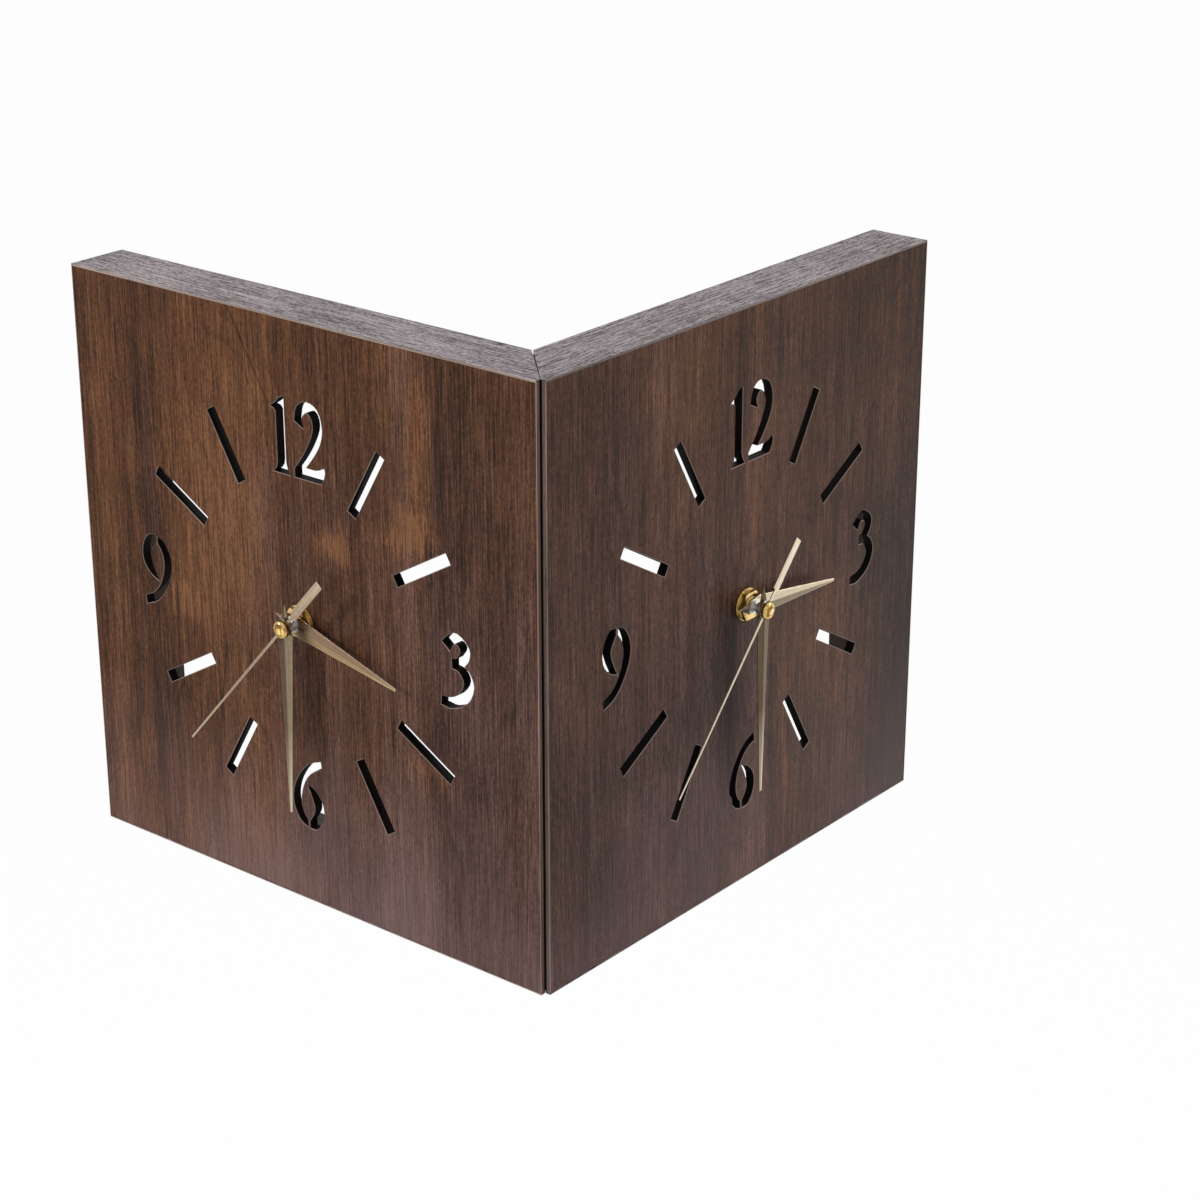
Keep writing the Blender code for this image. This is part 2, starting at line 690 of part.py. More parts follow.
def movement_cover():
    """The movement's back plate, open over the battery bay, with its bearing bosses."""
    made = extruded(rounded_square(CASE_SIDE, CASE_CORNER_RADIUS), COVER_BACK, COVER_FRONT)
    opening = block((-CASE_INSIDE, -CASE_INSIDE, 2 * COVER_BACK), (CASE_INSIDE, BAY_TOP, 0))
    made = cut(made, opening)
    boss_end = magnet_back() - END_PLAY
    root = COVER_FRONT - COVER_THICKNESS / 2
    for name in ("centre", "third", "intermediate", "rotor"):
        boss = rod(BOSS_RADIUS, root, boss_end, COARSE_FACETS)
        bearing = rod(bore_radius(PIVOT_RADIUS, COARSE_FACETS), boss_end - PIVOT_DEPTH - END_PLAY,
                      boss_end + END_PLAY, COARSE_FACETS)
        made = joined(made, shifted(boss, *ARBORS[name]))
        made = cut(made, shifted(bearing, *ARBORS[name]))
    shaft_hole = rod(bore_radius(KNOB_SHAFT_RADIUS, COARSE_FACETS), 2 * COVER_BACK, 0,
                     COARSE_FACETS)
    return cut(made, shifted(shaft_hole, *ARBORS["knob"]))


def threaded_bush():
    """The brass bush that holds the movement in the board."""
    bore = bore_radius(hour_pipe_radius())
    profile = (
        (bore, BUSH_TOP), (BUSH_RADIUS - NUT_CHAMFER / 2, BUSH_TOP),
        (BUSH_RADIUS, BUSH_TOP - NUT_CHAMFER / 2), (BUSH_RADIUS, CASE_FLOOR - SEAT_GAP),
        (BUSH_FLANGE_RADIUS, CASE_FLOOR - SEAT_GAP), (BUSH_FLANGE_RADIUS, BUSH_FLANGE_BACK),
        (bore, BUSH_FLANGE_BACK),
    )
    return turned(profile)


def brass_washer():
    """The washer between the nut and the board."""
    hole = bore_radius(BUSH_RADIUS)
    facets = 2 * FINE_FACETS
    profile = (
        (hole, WASHER_TOP), (WASHER_RADIUS, WASHER_TOP), (WASHER_RADIUS, SEAT_GAP),
        (hole, SEAT_GAP),
    )
    return turned(profile, facets)


def hex_nut():
    """The nut that clamps the movement, with chamfered corners."""
    low = WASHER_TOP + SEAT_GAP
    corner_radius = NUT_ACROSS_FLATS / 2 / math.cos(math.pi / 6)
    turns = [math.pi / 3 * step for step in range(6)]
    hexagon = [(corner_radius * math.cos(turn), corner_radius * math.sin(turn)) for turn in turns]
    flat_radius = NUT_ACROSS_FLATS / 2
    rounding = turned((
        (0, NUT_TOP + NUT_CHAMFER), (flat_radius - NUT_CHAMFER, NUT_TOP + NUT_CHAMFER),
        (corner_radius + NUT_CHAMFER, NUT_TOP - NUT_CHAMFER),
        (corner_radius + NUT_CHAMFER, low - NUT_CHAMFER), (0, low - NUT_CHAMFER),
    ))
    made = combine(extruded(hexagon, low, NUT_TOP), rounding, "INTERSECT")
    return cut(made, rod(bore_radius(BUSH_RADIUS), -NUT_TOP, 2 * NUT_TOP))


def minute_pipe_radius():
    """Outer radius of the minute hand's pipe."""
    return SECOND_SHAFT_RADIUS + RUNNING_GAP + MINUTE_PIPE_WALL


def hour_pipe_radius():
    """Outer radius of the hour hand's pipe."""
    return bore_radius(minute_pipe_radius()) + HOUR_PIPE_WALL


def magnet_back():
    """Back face of the rotor's magnet."""
    return level_top(ROTOR_LEVEL) - MAGNET_THICKNESS


def front_pivot():
    """Front end of the arbors that turn in the case's bosses."""
    return level_top(CENTRE_LEVEL) + PINION_OVERHANG + END_PLAY + PIVOT_DEPTH


def rear_pivot():
    """Back end of the arbors that turn in the cover's bosses."""
    return magnet_back() - END_PLAY - PIVOT_DEPTH


def pivoted_arbor():
    """The pin through a wheel, from its front bearing to its back one."""
    return rod(PIVOT_RADIUS, rear_pivot(), front_pivot(), COARSE_FACETS)


def rotor():
    """The motor's magnet with its pinion."""
    module = gear_module(ROTOR_DISTANCE, ROTOR_TEETH, INTERMEDIATE_TEETH)
    phase = meshed_phase("intermediate", INTERMEDIATE_TEETH, 0.0, "rotor", ROTOR_TEETH)
    made = pinion(INTERMEDIATE_LEVEL, ROTOR_TEETH, module, phase)
    magnet = rod(MAGNET_RADIUS, magnet_back(), level_top(ROTOR_LEVEL))
    neck = rod(ROTOR_NECK_RADIUS, level_top(ROTOR_LEVEL) - SEAT_GAP,
               level_bottom(INTERMEDIATE_LEVEL), COARSE_FACETS)
    return joined(made, neck, magnet, pivoted_arbor())


def intermediate_wheel():
    """The wheel between the rotor and the seconds wheel."""
    module = gear_module(ROTOR_DISTANCE, ROTOR_TEETH, INTERMEDIATE_TEETH)
    made = wheel(INTERMEDIATE_LEVEL, INTERMEDIATE_TEETH, module, 0.0)
    small_module = gear_module(INTERMEDIATE_DISTANCE, INTERMEDIATE_PINION_TEETH, SECONDS_TEETH)
    phase = meshed_phase("centre", SECONDS_TEETH, 0.0, "intermediate", INTERMEDIATE_PINION_TEETH)
    leaves = extruded(gear_outline(INTERMEDIATE_PINION_TEETH, small_module, phase),
                      level_top(INTERMEDIATE_LEVEL) - SEAT_GAP,
                      level_top(SECONDS_LEVEL) + PINION_OVERHANG)
    return joined(made, leaves, pivoted_arbor())


def seconds_wheel():
    """The wheel and the long shaft that carry the second hand."""
    module = gear_module(INTERMEDIATE_DISTANCE, INTERMEDIATE_PINION_TEETH, SECONDS_TEETH)
    made = wheel(SECONDS_LEVEL, SECONDS_TEETH, module, 0.0)
    small_module = gear_module(THIRD_DISTANCE, SECONDS_PINION_TEETH, THIRD_TEETH)
    leaves = extruded(gear_outline(SECONDS_PINION_TEETH, small_module, 0.0),
                      level_top(SECONDS_LEVEL) - SEAT_GAP,
                      level_top(THIRD_LEVEL) + PINION_OVERHANG)
    shaft = rod(SECOND_SHAFT_RADIUS, level_bottom(THIRD_LEVEL), second_shaft_top(), COARSE_FACETS)
    pivot = rod(PIVOT_RADIUS, rear_pivot(), level_top(SECONDS_LEVEL), COARSE_FACETS)
    return joined(made, leaves, shaft, pivot)


def second_shaft_top():
    """Front end of the second hand's shaft, inside the cap."""
    return CAP_BOTTOM + CAP_HEIGHT / 2


def third_wheel():
    """The wheel between the seconds wheel and the centre wheel."""
    module = gear_module(THIRD_DISTANCE, SECONDS_PINION_TEETH, THIRD_TEETH)
    phase = meshed_phase("centre", SECONDS_PINION_TEETH, 0.0, "third", THIRD_TEETH)
    made = wheel(THIRD_LEVEL, THIRD_TEETH, module, phase)
    small_module = gear_module(THIRD_DISTANCE, THIRD_PINION_TEETH, CENTRE_TEETH)
    leaves = extruded(gear_outline(THIRD_PINION_TEETH, small_module, 0.0),
                      level_top(THIRD_LEVEL) - SEAT_GAP,
                      level_top(CENTRE_LEVEL) + PINION_OVERHANG)
    return joined(made, leaves, pivoted_arbor())


def centre_wheel():
    """The wheel that drives the minute pipe through a friction fit."""
    module = gear_module(THIRD_DISTANCE, THIRD_PINION_TEETH, CENTRE_TEETH)
    phase = meshed_phase("third", THIRD_PINION_TEETH, 0.0, "centre", CENTRE_TEETH)
    made = wheel(CENTRE_LEVEL, CENTRE_TEETH, module, phase)
    bore = rod(bore_radius(centre_seat_radius()), level_bottom(THIRD_LEVEL), 0)
    return cut(made, bore)


def centre_seat_radius():
    """Radius of the minute pipe's sleeve inside the centre wheel."""
    return minute_pipe_radius() - RUNNING_GAP


def minute_pipe():
    """The pipe that carries the minute hand, with the pinion that drives the hours."""
    module = gear_module(MOTION_DISTANCE, CANNON_TEETH, MOTION_TEETH)
    made = pinion(MOTION_LEVEL, CANNON_TEETH, module, 0.0, END_PLAY)
    pipe_root = level_top(MOTION_LEVEL) + PINION_OVERHANG
    pipe = rod(minute_pipe_radius(), pipe_root, minute_pipe_top())
    sleeve_end = level_bottom(CENTRE_LEVEL) - PINION_OVERHANG
    sleeve = rod(centre_seat_radius(), sleeve_end, level_bottom(MOTION_LEVEL) - PINION_OVERHANG)
    bore = rod(bore_radius(SECOND_SHAFT_RADIUS, COARSE_FACETS), level_top(SECONDS_LEVEL),
               2 * minute_pipe_top(), COARSE_FACETS)
    return cut(joined(made, pipe, sleeve), bore)


def minute_pipe_top():
    """Front end of the minute hand's pipe, just behind the second hand's tube."""
    return SECOND_STRIP_BOTTOM - SECOND_TUBE_DROP - END_PLAY


def motion_wheel():
    """The wheel that steps the minute pipe's turn down for the hour wheel."""
    module = gear_module(MOTION_DISTANCE, CANNON_TEETH, MOTION_TEETH)
    phase = meshed_phase("centre", CANNON_TEETH, 0.0, "motion", MOTION_TEETH)
    made = wheel(MOTION_LEVEL, MOTION_TEETH, module, phase)
    small_module = gear_module(MOTION_DISTANCE, MOTION_PINION_TEETH, HOUR_TEETH)
    leaves = extruded(gear_outline(MOTION_PINION_TEETH, small_module, 0.0),
                      level_top(MOTION_LEVEL) - SEAT_GAP,
                      level_top(HOUR_LEVEL) + PINION_OVERHANG)
    bore = rod(bore_radius(STUD_RADIUS, COARSE_FACETS), 2 * level_bottom(MOTION_LEVEL), 0,
               COARSE_FACETS)
    return cut(joined(made, leaves), bore)


def hour_wheel():
    """The wheel and pipe that carry the hour hand."""
    module = gear_module(MOTION_DISTANCE, MOTION_PINION_TEETH, HOUR_TEETH)
    phase = meshed_phase("motion", MOTION_PINION_TEETH, 0.0, "centre", HOUR_TEETH)
    made = wheel(HOUR_LEVEL, HOUR_TEETH, module, phase)
    pipe = rod(hour_pipe_radius(), level_bottom(HOUR_LEVEL) + SEAT_GAP, hour_pipe_top())
    bore = rod(bore_radius(minute_pipe_radius()), 2 * level_bottom(HOUR_LEVEL),
               2 * hour_pipe_top())
    return cut(joined(made, pipe), bore)


def hour_pipe_top():
    """Front end of the hour hand's pipe, just above the hand."""
    return HOUR_PLANE + HAND_TOP


def setting_knob():
    """The knob on the movement's back that sets the hands, with its shaft and pinion."""
    module = gear_module(MOTION_DISTANCE, CANNON_TEETH, MOTION_TEETH)
    wheel_phase = meshed_phase("centre", CANNON_TEETH, 0.0, "motion", MOTION_TEETH)
    phase = meshed_phase("motion", MOTION_TEETH, wheel_phase, "knob", KNOB_TEETH)
    made = pinion(MOTION_LEVEL, KNOB_TEETH, module, phase)
    knob_front = COVER_BACK - END_PLAY
    front = level_top(MOTION_LEVEL) + PINION_OVERHANG + END_PLAY + PIVOT_DEPTH
    shaft = rod(KNOB_SHAFT_RADIUS, knob_front - KNOB_HEIGHT / 2, front, COARSE_FACETS)
    points = []
    for flute in range(KNOB_FLUTES):
        for radius, turn in ((KNOB_RADIUS - KNOB_FLUTE_DEPTH, flute),
                             (KNOB_RADIUS, flute + KNOB_FLUTE_START),
                             (KNOB_RADIUS, flute + KNOB_FLUTE_END)):
            angle = 2 * math.pi * turn / KNOB_FLUTES
            points.append((radius * math.cos(angle), radius * math.sin(angle)))
    grip = extruded(points, knob_front - KNOB_HEIGHT, knob_front)
    return joined(made, shaft, grip)


def coil_front():
    """Front face of the coil's cheeks, which stand on two posts of the case."""
    return stator_back() + STATOR_THICKNESS + COIL_CHEEK_SIDE - SEAT_GAP


def stator_back():
    """Back face of the stator plate, level with the magnet's middle."""
    return (level_top(ROTOR_LEVEL) + magnet_back()) / 2 - STATOR_THICKNESS / 2


def stator_left():
    """Left edge of the stator plate, which lies evenly round the rotor."""
    return ARBORS["rotor"].x - COIL_LENGTH / 2 - COIL_CHEEK_THICKNESS


def cheek_centres():
    """The x of each of the coil's two cheeks."""
    offset = COIL_LENGTH / 2 + COIL_CHEEK_THICKNESS / 2
    return (ARBORS["rotor"].x - offset, ARBORS["rotor"].x + offset)


def drive_coil():
    """The motor's coil on its cheeks, with the stator plate round the rotor."""
    back = stator_back()
    half = COIL_CHEEK_SIDE / 2
    winding_height = coil_front() - half
    width = COIL_LENGTH + 2 * COIL_CHEEK_THICKNESS
    hole_radius = MAGNET_RADIUS + STATOR_AIR_GAP
    rotor_x, rotor_y = ARBORS["rotor"]
    bottom = rotor_y - hole_radius - STATOR_RIM
    plate = block((stator_left(), bottom, back),
                  (stator_left() + width, COIL_CENTRE_HEIGHT + half, back + STATOR_THICKNESS))
    plate = cut(plate, shifted(rod(hole_radius, 2 * back, 0), rotor_x, rotor_y))
    winding = rod(COIL_RADIUS, -COIL_LENGTH / 2 - SEAT_GAP, COIL_LENGTH / 2 + SEAT_GAP)
    winding.data.transform(Matrix.Rotation(math.pi / 2, 4, "Y"))
    shifted(winding, rotor_x, COIL_CENTRE_HEIGHT, winding_height)
    for x in cheek_centres():
        cheek = block((x - COIL_CHEEK_THICKNESS / 2, COIL_CENTRE_HEIGHT - half, back + SEAT_GAP),
                      (x + COIL_CHEEK_THICKNESS / 2, COIL_CENTRE_HEIGHT + half, coil_front()))
        plate = joined(plate, cheek)
    return joined(plate, winding)


def circuit_front():
    """Front face of the circuit board, behind the wheels."""
    return magnet_back() + CIRCUIT_THICKNESS


def circuit_bottom():
    """Lower edge of the circuit board, just above the battery bay's wall."""
    return BAY_TOP + BAY_WALL + LOOSE_GAP


def circuit_posts():
    """Where the circuit board's two posts stand."""
    y = circuit_bottom() + CIRCUIT_WIDTH / 2
    return ((-CIRCUIT_POST_SPREAD / 2, y), (CIRCUIT_POST_SPREAD / 2, y))


def contact_inner():
    """Inner face of the contact strips, beside the battery's ends."""
    return BATTERY_LENGTH / 2 + BATTERY_NUB_LENGTH / 2 + END_PLAY


def circuit_board():
    """The circuit board with the two contact strips that reach the battery."""
    front = circuit_front()
    back = front - CIRCUIT_THICKNESS
    low = circuit_bottom()
    inner = contact_inner()
    outer = inner + CONTACT_THICKNESS
    made = block((-inner - CONTACT_THICKNESS / 2, low, back),
                 (inner + CONTACT_THICKNESS / 2, low + CIRCUIT_WIDTH, front))
    for side in (-1, 1):
        xs = sorted((side * inner, side * outer))
        strip = block((xs[0], BAY_CENTRE - BATTERY_NUB_RADIUS, back + SEAT_GAP),
                      (xs[1], low + CIRCUIT_WIDTH - SEAT_GAP, back + CONTACT_WIDTH))
        made = joined(made, strip)
    return made


def battery():
    """The AA cell that lies across the bottom of the movement."""
    half = BATTERY_LENGTH / 2
    shift = -BATTERY_NUB_LENGTH / 2
    made = turned((
        (0, half + BATTERY_NUB_LENGTH), (BATTERY_NUB_RADIUS, half + BATTERY_NUB_LENGTH),
        (BATTERY_NUB_RADIUS, half), (BATTERY_RADIUS, half), (BATTERY_RADIUS, -half), (0, -half),
    ))
    made.data.transform(Matrix.Translation((0, 0, shift)))
    made.data.transform(Matrix.Rotation(math.pi / 2, 4, "Y"))
    return shifted(made, 0, BAY_CENTRE, CASE_FLOOR - LOOSE_GAP - BATTERY_RADIUS)


def folded_hand(length, tail, half_width, plane):
    """A kite-shaped sheet folded along its middle, pointing to twelve."""
    rim = (
        (0, -tail), (half_width, HAND_WIDEST_AT), (HAND_TIP_HALF_WIDTH, length),
        (-HAND_TIP_HALF_WIDTH, length), (-half_width, HAND_WIDEST_AT),
    )
    fold = ((0, HAND_WIDEST_AT, HAND_RIDGE), (0, length, HAND_RIDGE / 4))
    shape = bmesh.new()
    layers = []
    for z in (plane - HAND_SHEET / 2, plane + HAND_SHEET / 2):
        edge = [shape.verts.new((x, y, z)) for x, y in rim]
        middle, end = (shape.verts.new((x, y, z + rise)) for x, y, rise in fold)
        rear, right, right_tip, left_tip, left = edge
        shape.faces.new((rear, right, middle))
        shape.faces.new((right, right_tip, end, middle))
        shape.faces.new((end, left_tip, left, middle))
        shape.faces.new((left, rear, middle))
        layers.append([rear, right, right_tip, end, left_tip, left])
    bottom, top = layers
    for here in range(len(bottom)):
        there = (here + 1) % len(bottom)
        shape.faces.new((bottom[here], bottom[there], top[there], top[here]))
    bmesh.ops.triangulate(shape, faces=[face for face in shape.faces if len(face.verts) > 3])
    return object_from(shape, "hand")


def collared(hand, pipe_radius, collet_wall, plane, drop):
    """A hand with the collet that grips its pipe."""
    bore = bore_radius(pipe_radius)
    bottom = plane - HAND_SHEET / 2 - drop
    collet = rod(bore + collet_wall, bottom, plane + HAND_SHEET / 2)
    return cut(joined(hand, collet), rod(bore, 0, 2 * plane))


def hour_hand():
    """The short folded hand."""
    made = folded_hand(HOUR_HAND_LENGTH, HOUR_HAND_TAIL, HOUR_HAND_HALF_WIDTH, HOUR_PLANE)
    return collared(made, hour_pipe_radius(), HOUR_COLLET_WALL, HOUR_PLANE, HOUR_COLLET_DROP)


def minute_hand():
    """The long folded hand."""
    made = folded_hand(MINUTE_HAND_LENGTH, MINUTE_HAND_TAIL, MINUTE_HAND_HALF_WIDTH,
                       MINUTE_PLANE)
    return collared(made, minute_pipe_radius(), MINUTE_COLLET_WALL, MINUTE_PLANE,
                    MINUTE_COLLET_DROP)


def second_hand():
    """The slim hand with its counterweight and the tube that grips the shaft."""
    hand = SECOND_HAND_WIDTH / 2
    tip = SECOND_HAND_TIP_WIDTH / 2
    weight = SECOND_WEIGHT_WIDTH / 2
    neck_end = -SECOND_NECK_LENGTH
    weight_end = neck_end - SECOND_WEIGHT_LENGTH
    outline = (
        (tip, SECOND_HAND_LENGTH), (-tip, SECOND_HAND_LENGTH), (-hand, 0), (-hand, neck_end),
        (-weight, neck_end), (-weight, weight_end), (weight, weight_end), (weight, neck_end),
        (hand, neck_end), (hand, 0),
    )
    made = extruded(outline, SECOND_STRIP_BOTTOM, SECOND_STRIP_TOP)
    hub = rod(SECOND_HUB_RADIUS, SECOND_STRIP_BOTTOM, SECOND_STRIP_TOP)
    bore = bore_radius(SECOND_SHAFT_RADIUS, COARSE_FACETS)
    tube = rod(bore + SECOND_TUBE_WALL, SECOND_STRIP_BOTTOM - SECOND_TUBE_DROP, SECOND_PLANE)
    made = joined(made, hub, tube)
    return cut(made, rod(bore, 0, 2 * SECOND_PLANE, COARSE_FACETS))


def second_hand_cap():
    """The domed cap on the second hand's hub."""
    bore = bore_radius(SECOND_SHAFT_RADIUS, COARSE_FACETS)
    roof = second_shaft_top() + END_PLAY
    dome = CAP_HEIGHT - CAP_RIM
    profile = [(0, CAP_TOP)]
    for step in range(1, CAP_STEPS):
        angle = math.pi / 2 * step / CAP_STEPS
        profile.append((CAP_RADIUS * math.sin(angle), CAP_TOP - dome * (1 - math.cos(angle))))
    profile += [
        (CAP_RADIUS, CAP_BOTTOM + CAP_RIM), (CAP_RADIUS, CAP_BOTTOM), (0, CAP_BOTTOM),
    ]
    return cut(turned(profile), rod(bore, 0, roof, COARSE_FACETS))


# Each half's pieces: name, maker, finish, arbor and the hand whose rest angle it has.
CASING = (
    ("front_board", front_board, "walnut_laminate"),
    ("edge_band", edge_band, "edge_laminate"),
    ("top_rail", top_rail, "batten_wood"),
    ("bottom_rail", bottom_rail, "batten_wood"),
    ("outer_rail", outer_rail, "batten_wood"),
    ("apex_rail", apex_rail, "batten_wood"),
)
FIXED_PARTS = (
    ("movement_case", movement_case, "black_plastic"),
    ("movement_cover", movement_cover, "black_plastic"),
    ("threaded_bush", threaded_bush, "brass"),
    ("brass_washer", brass_washer, "brass"),
    ("hex_nut", hex_nut, "brass"),
    ("circuit_board", circuit_board, "circuit_green"),
    ("drive_coil", drive_coil, "copper_wire"),
    ("battery", battery, "battery_jacket"),
)
TURNING_PARTS = (
    ("rotor", rotor, "steel", "rotor"),
    ("intermediate_wheel", intermediate_wheel, "gear_plastic", "intermediate"),
    ("seconds_wheel", seconds_wheel, "steel", "centre"),
    ("third_wheel", third_wheel, "gear_plastic", "third"),
    ("centre_wheel", centre_wheel, "gear_plastic", "centre"),
    ("minute_pipe", minute_pipe, "steel", "centre"),
    ("motion_wheel", motion_wheel, "gear_plastic", "motion"),
    ("hour_wheel", hour_wheel, "steel", "centre"),
    ("setting_knob", setting_knob, "black_plastic", "knob"),
)
HANDS = (
    ("hour_hand", hour_hand, "champagne_metal", "hour"),
    ("minute_hand", minute_hand, "champagne_metal", "minute"),
    ("second_hand", second_hand, "champagne_metal", "second"),
    ("second_hand_cap", second_hand_cap, "brass", "second"),
)


def dressed(made, name, look):
    """Names a piece and gives it its finish and smooth shading."""
    made.name = name
    made.data.name = name
    made.data.materials.clear()
    made.data.materials.append(finish(look))
    made.data.shade_smooth()
    made.data.set_sharp_from_angle(angle=math.radians(30))
    return made


def half_frame(side):
    """The empty that holds a half: x along the face, y up and z out of the face."""
    along = DIAL_FROM_APEX - TRAY_DEPTH
    if side == "right":
        place = Vector((along, -TRAY_DEPTH, 0))
        axes = Matrix(((1, 0, 0), (0, 0, -1), (0, 1, 0)))
    else:
        place = Vector((-TRAY_DEPTH, along, 0))
        axes = Matrix(((0, 0, -1), (-1, 0, 0), (0, 1, 0)))
    frame = bpy.data.objects.new(side + "_half", None)
    bpy.context.scene.collection.objects.link(frame)
    frame.matrix_world = Matrix.Translation(place) @ axes.to_4x4()
    return frame


def build_half(side):
    """One half of the clock with its movement and hands."""
    frame = half_frame(side)
    pieces = [dressed(make(side), f"{side}_{name}", look) for name, make, look in CASING]
    pieces += [dressed(make(), f"{side}_{name}", look) for name, make, look in FIXED_PARTS]
    for name, make, look, arbor in TURNING_PARTS:
        made = dressed(make(), f"{side}_{name}", look)
        made.location = (*ARBORS[arbor], 0)
        pieces.append(made)
    for name, make, look, hand in HANDS:
        made = dressed(make(), f"{side}_{name}", look)
        made.rotation_euler = (0, 0, -math.radians(HAND_ANGLES[side][hand]))
        pieces.append(made)
    for made in pieces:
        made.parent = frame


def screw():
    """A countersunk screw along z, its head's face at z = 0 and its point below."""
    return turned((
        (0, 0), (SCREW_HEAD_RADIUS, 0), (SCREW_RADIUS, -SCREW_HEAD_HEIGHT),
        (SCREW_RADIUS, -SCREW_LENGTH + SCREW_RADIUS), (0, -SCREW_LENGTH),
    ), COARSE_FACETS)


def countersink():
    """The cutter for a bracket's screw hole, its wide end at z = 0."""
    head = bore_radius(SCREW_HEAD_RADIUS, COARSE_FACETS)
    shank = bore_radius(SCREW_RADIUS, COARSE_FACETS)
    return turned((
        (0, BRACKET_THICKNESS), (head, BRACKET_THICKNESS), (head, 0),
        (shank, -SCREW_HEAD_HEIGHT), (shank, -2 * BRACKET_THICKNESS), (0, -2 * BRACKET_THICKNESS),
    ), COARSE_FACETS)


def screw_turn(side):
    """Turns a screw's z axis to point out of the wall side of a half."""
    if side == "left":
        return Matrix.Rotation(math.pi / 2, 4, "Y")
    return Matrix.Rotation(-math.pi / 2, 4, "X")


def screw_place(side, height):
    """Where a screw's head lies, flush with its bracket."""
    if side == "left":
        return Vector((-BRACKET_SUNK, SCREW_FROM_CORNER, height))
    return Vector((SCREW_FROM_CORNER, -BRACKET_SUNK, height))


def corner_bracket(height):
    """An angle plate sunk into the backs of both halves' rails at one height."""
    back = -BRACKET_SUNK
    front = back - BRACKET_THICKNESS
    outline = (
        (back, back), (BRACKET_LEG, back), (BRACKET_LEG, front), (front, front),
        (front, BRACKET_LEG), (back, BRACKET_LEG),
    )
    made = extruded(outline, height - BRACKET_HEIGHT / 2, height + BRACKET_HEIGHT / 2)
    for side in HALVES:
        tool = countersink()
        tool.data.transform(Matrix.Translation(screw_place(side, height)) @ screw_turn(side))
        made = cut(made, tool)
    return made


def build_corner():
    """The two brackets that hold the halves together, and their screws."""
    for level, height in (("upper", TOP_RAIL_CENTRE), ("lower", -TOP_RAIL_CENTRE)):
        dressed(corner_bracket(height), f"{level}_corner_bracket", "steel")
        for side in HALVES:
            made = dressed(screw(), f"{level}_{side}_screw", "steel")
            made.matrix_world = (Matrix.Translation(screw_place(side, height))
                                 @ screw_turn(side))


def clear_scene():
    """Removes whatever the scene holds."""
    for old in list(bpy.data.objects):
        bpy.data.objects.remove(old)


clear_scene()
for half in HALVES:
    build_half(half)
build_corner()
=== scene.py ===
"""Looks of the corner wall clock: finishes, fine meshes, stage, light and camera."""
import json
import math

import bmesh
import bpy
from mathutils import Matrix, Vector


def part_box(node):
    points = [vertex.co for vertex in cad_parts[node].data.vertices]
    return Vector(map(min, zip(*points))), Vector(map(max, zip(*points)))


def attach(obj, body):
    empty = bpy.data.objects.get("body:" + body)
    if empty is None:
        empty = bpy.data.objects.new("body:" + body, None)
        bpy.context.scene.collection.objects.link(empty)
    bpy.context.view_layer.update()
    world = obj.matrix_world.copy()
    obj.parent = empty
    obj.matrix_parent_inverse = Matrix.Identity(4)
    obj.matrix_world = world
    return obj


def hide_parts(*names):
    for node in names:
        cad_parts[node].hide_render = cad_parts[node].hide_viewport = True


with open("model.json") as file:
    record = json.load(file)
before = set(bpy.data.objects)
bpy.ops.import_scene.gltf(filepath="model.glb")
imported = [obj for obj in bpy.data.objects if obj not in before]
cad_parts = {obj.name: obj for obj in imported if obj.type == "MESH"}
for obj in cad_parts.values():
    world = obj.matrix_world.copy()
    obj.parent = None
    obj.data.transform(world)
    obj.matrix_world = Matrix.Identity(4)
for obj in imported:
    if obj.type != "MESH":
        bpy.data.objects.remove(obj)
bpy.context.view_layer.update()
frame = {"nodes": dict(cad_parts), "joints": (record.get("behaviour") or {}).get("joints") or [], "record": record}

# Camera, as seen from the photograph's side
CAMERA_PLACE = (-0.79861, -0.68272, 0.45374)
CAMERA_AIM = (0.11911, 0.06355, -0.02701)
CAMERA_LENS = 85.943

# Stage and light: each lamp's place, side and power
FLOOR_HEIGHT = -1.5
FLOOR_SIDE = 60.0
FLOOR_SHADOW_SHARE = 0.03
WORLD_STRENGTH = 0.55
WHITE = (1, 1, 1, 1)
LAMPS = (
    ("left_key", (-1.45, 1.45, 0.85), 0.28, 22.0),
    ("right_key", (1.60, -1.45, 0.85), 0.28, 20.0),
    ("left_low", (-1.35, 0.60, -0.70), 1.1, 3.4),
    ("right_low", (1.45, -0.50, -0.70), 1.1, 3.4),
    ("back", (1.8, 1.8, 1.2), 2.0, 16.0),
)

# Edge rounding of the refined pieces, in metres, and the angles that tell edges from curves
CUT_CHAMFER = 0.00028
BAND_EDGE = 0.0001
BATTEN_EDGE = 0.0006
PLASTIC_EDGE = 0.00018
METAL_EDGE = 0.00006
PLATE_EDGE = 0.0003
NUT_EDGE = 0.00015
EDGE_ABOVE = 40.0
HAND_EDGE_ABOVE = 50.0
HAND_BELOW = 12.0
FLAT_BELOW = 20.0
ROUND_BELOW = 35.0
DOME_BELOW = 40.0
THREAD_BELOW = 50.0
FLAT_WITHIN = 0.5
MERGE_DISTANCE = 1e-6
# How far faces point out of the dial (flat ones, cut walls, the edge strip's lip) and up
PLANAR = 0.9
WALL = 0.1
LIP = 0.7
LEVEL = 0.5

# Sizes of the dials, as in the part
HALF_SIDE = 0.130
APEX_EDGE = 0.1287
OUTER_EDGE = 0.1281
PERIMETER_STRIP = 0.001
TOP_LIP = 0.128

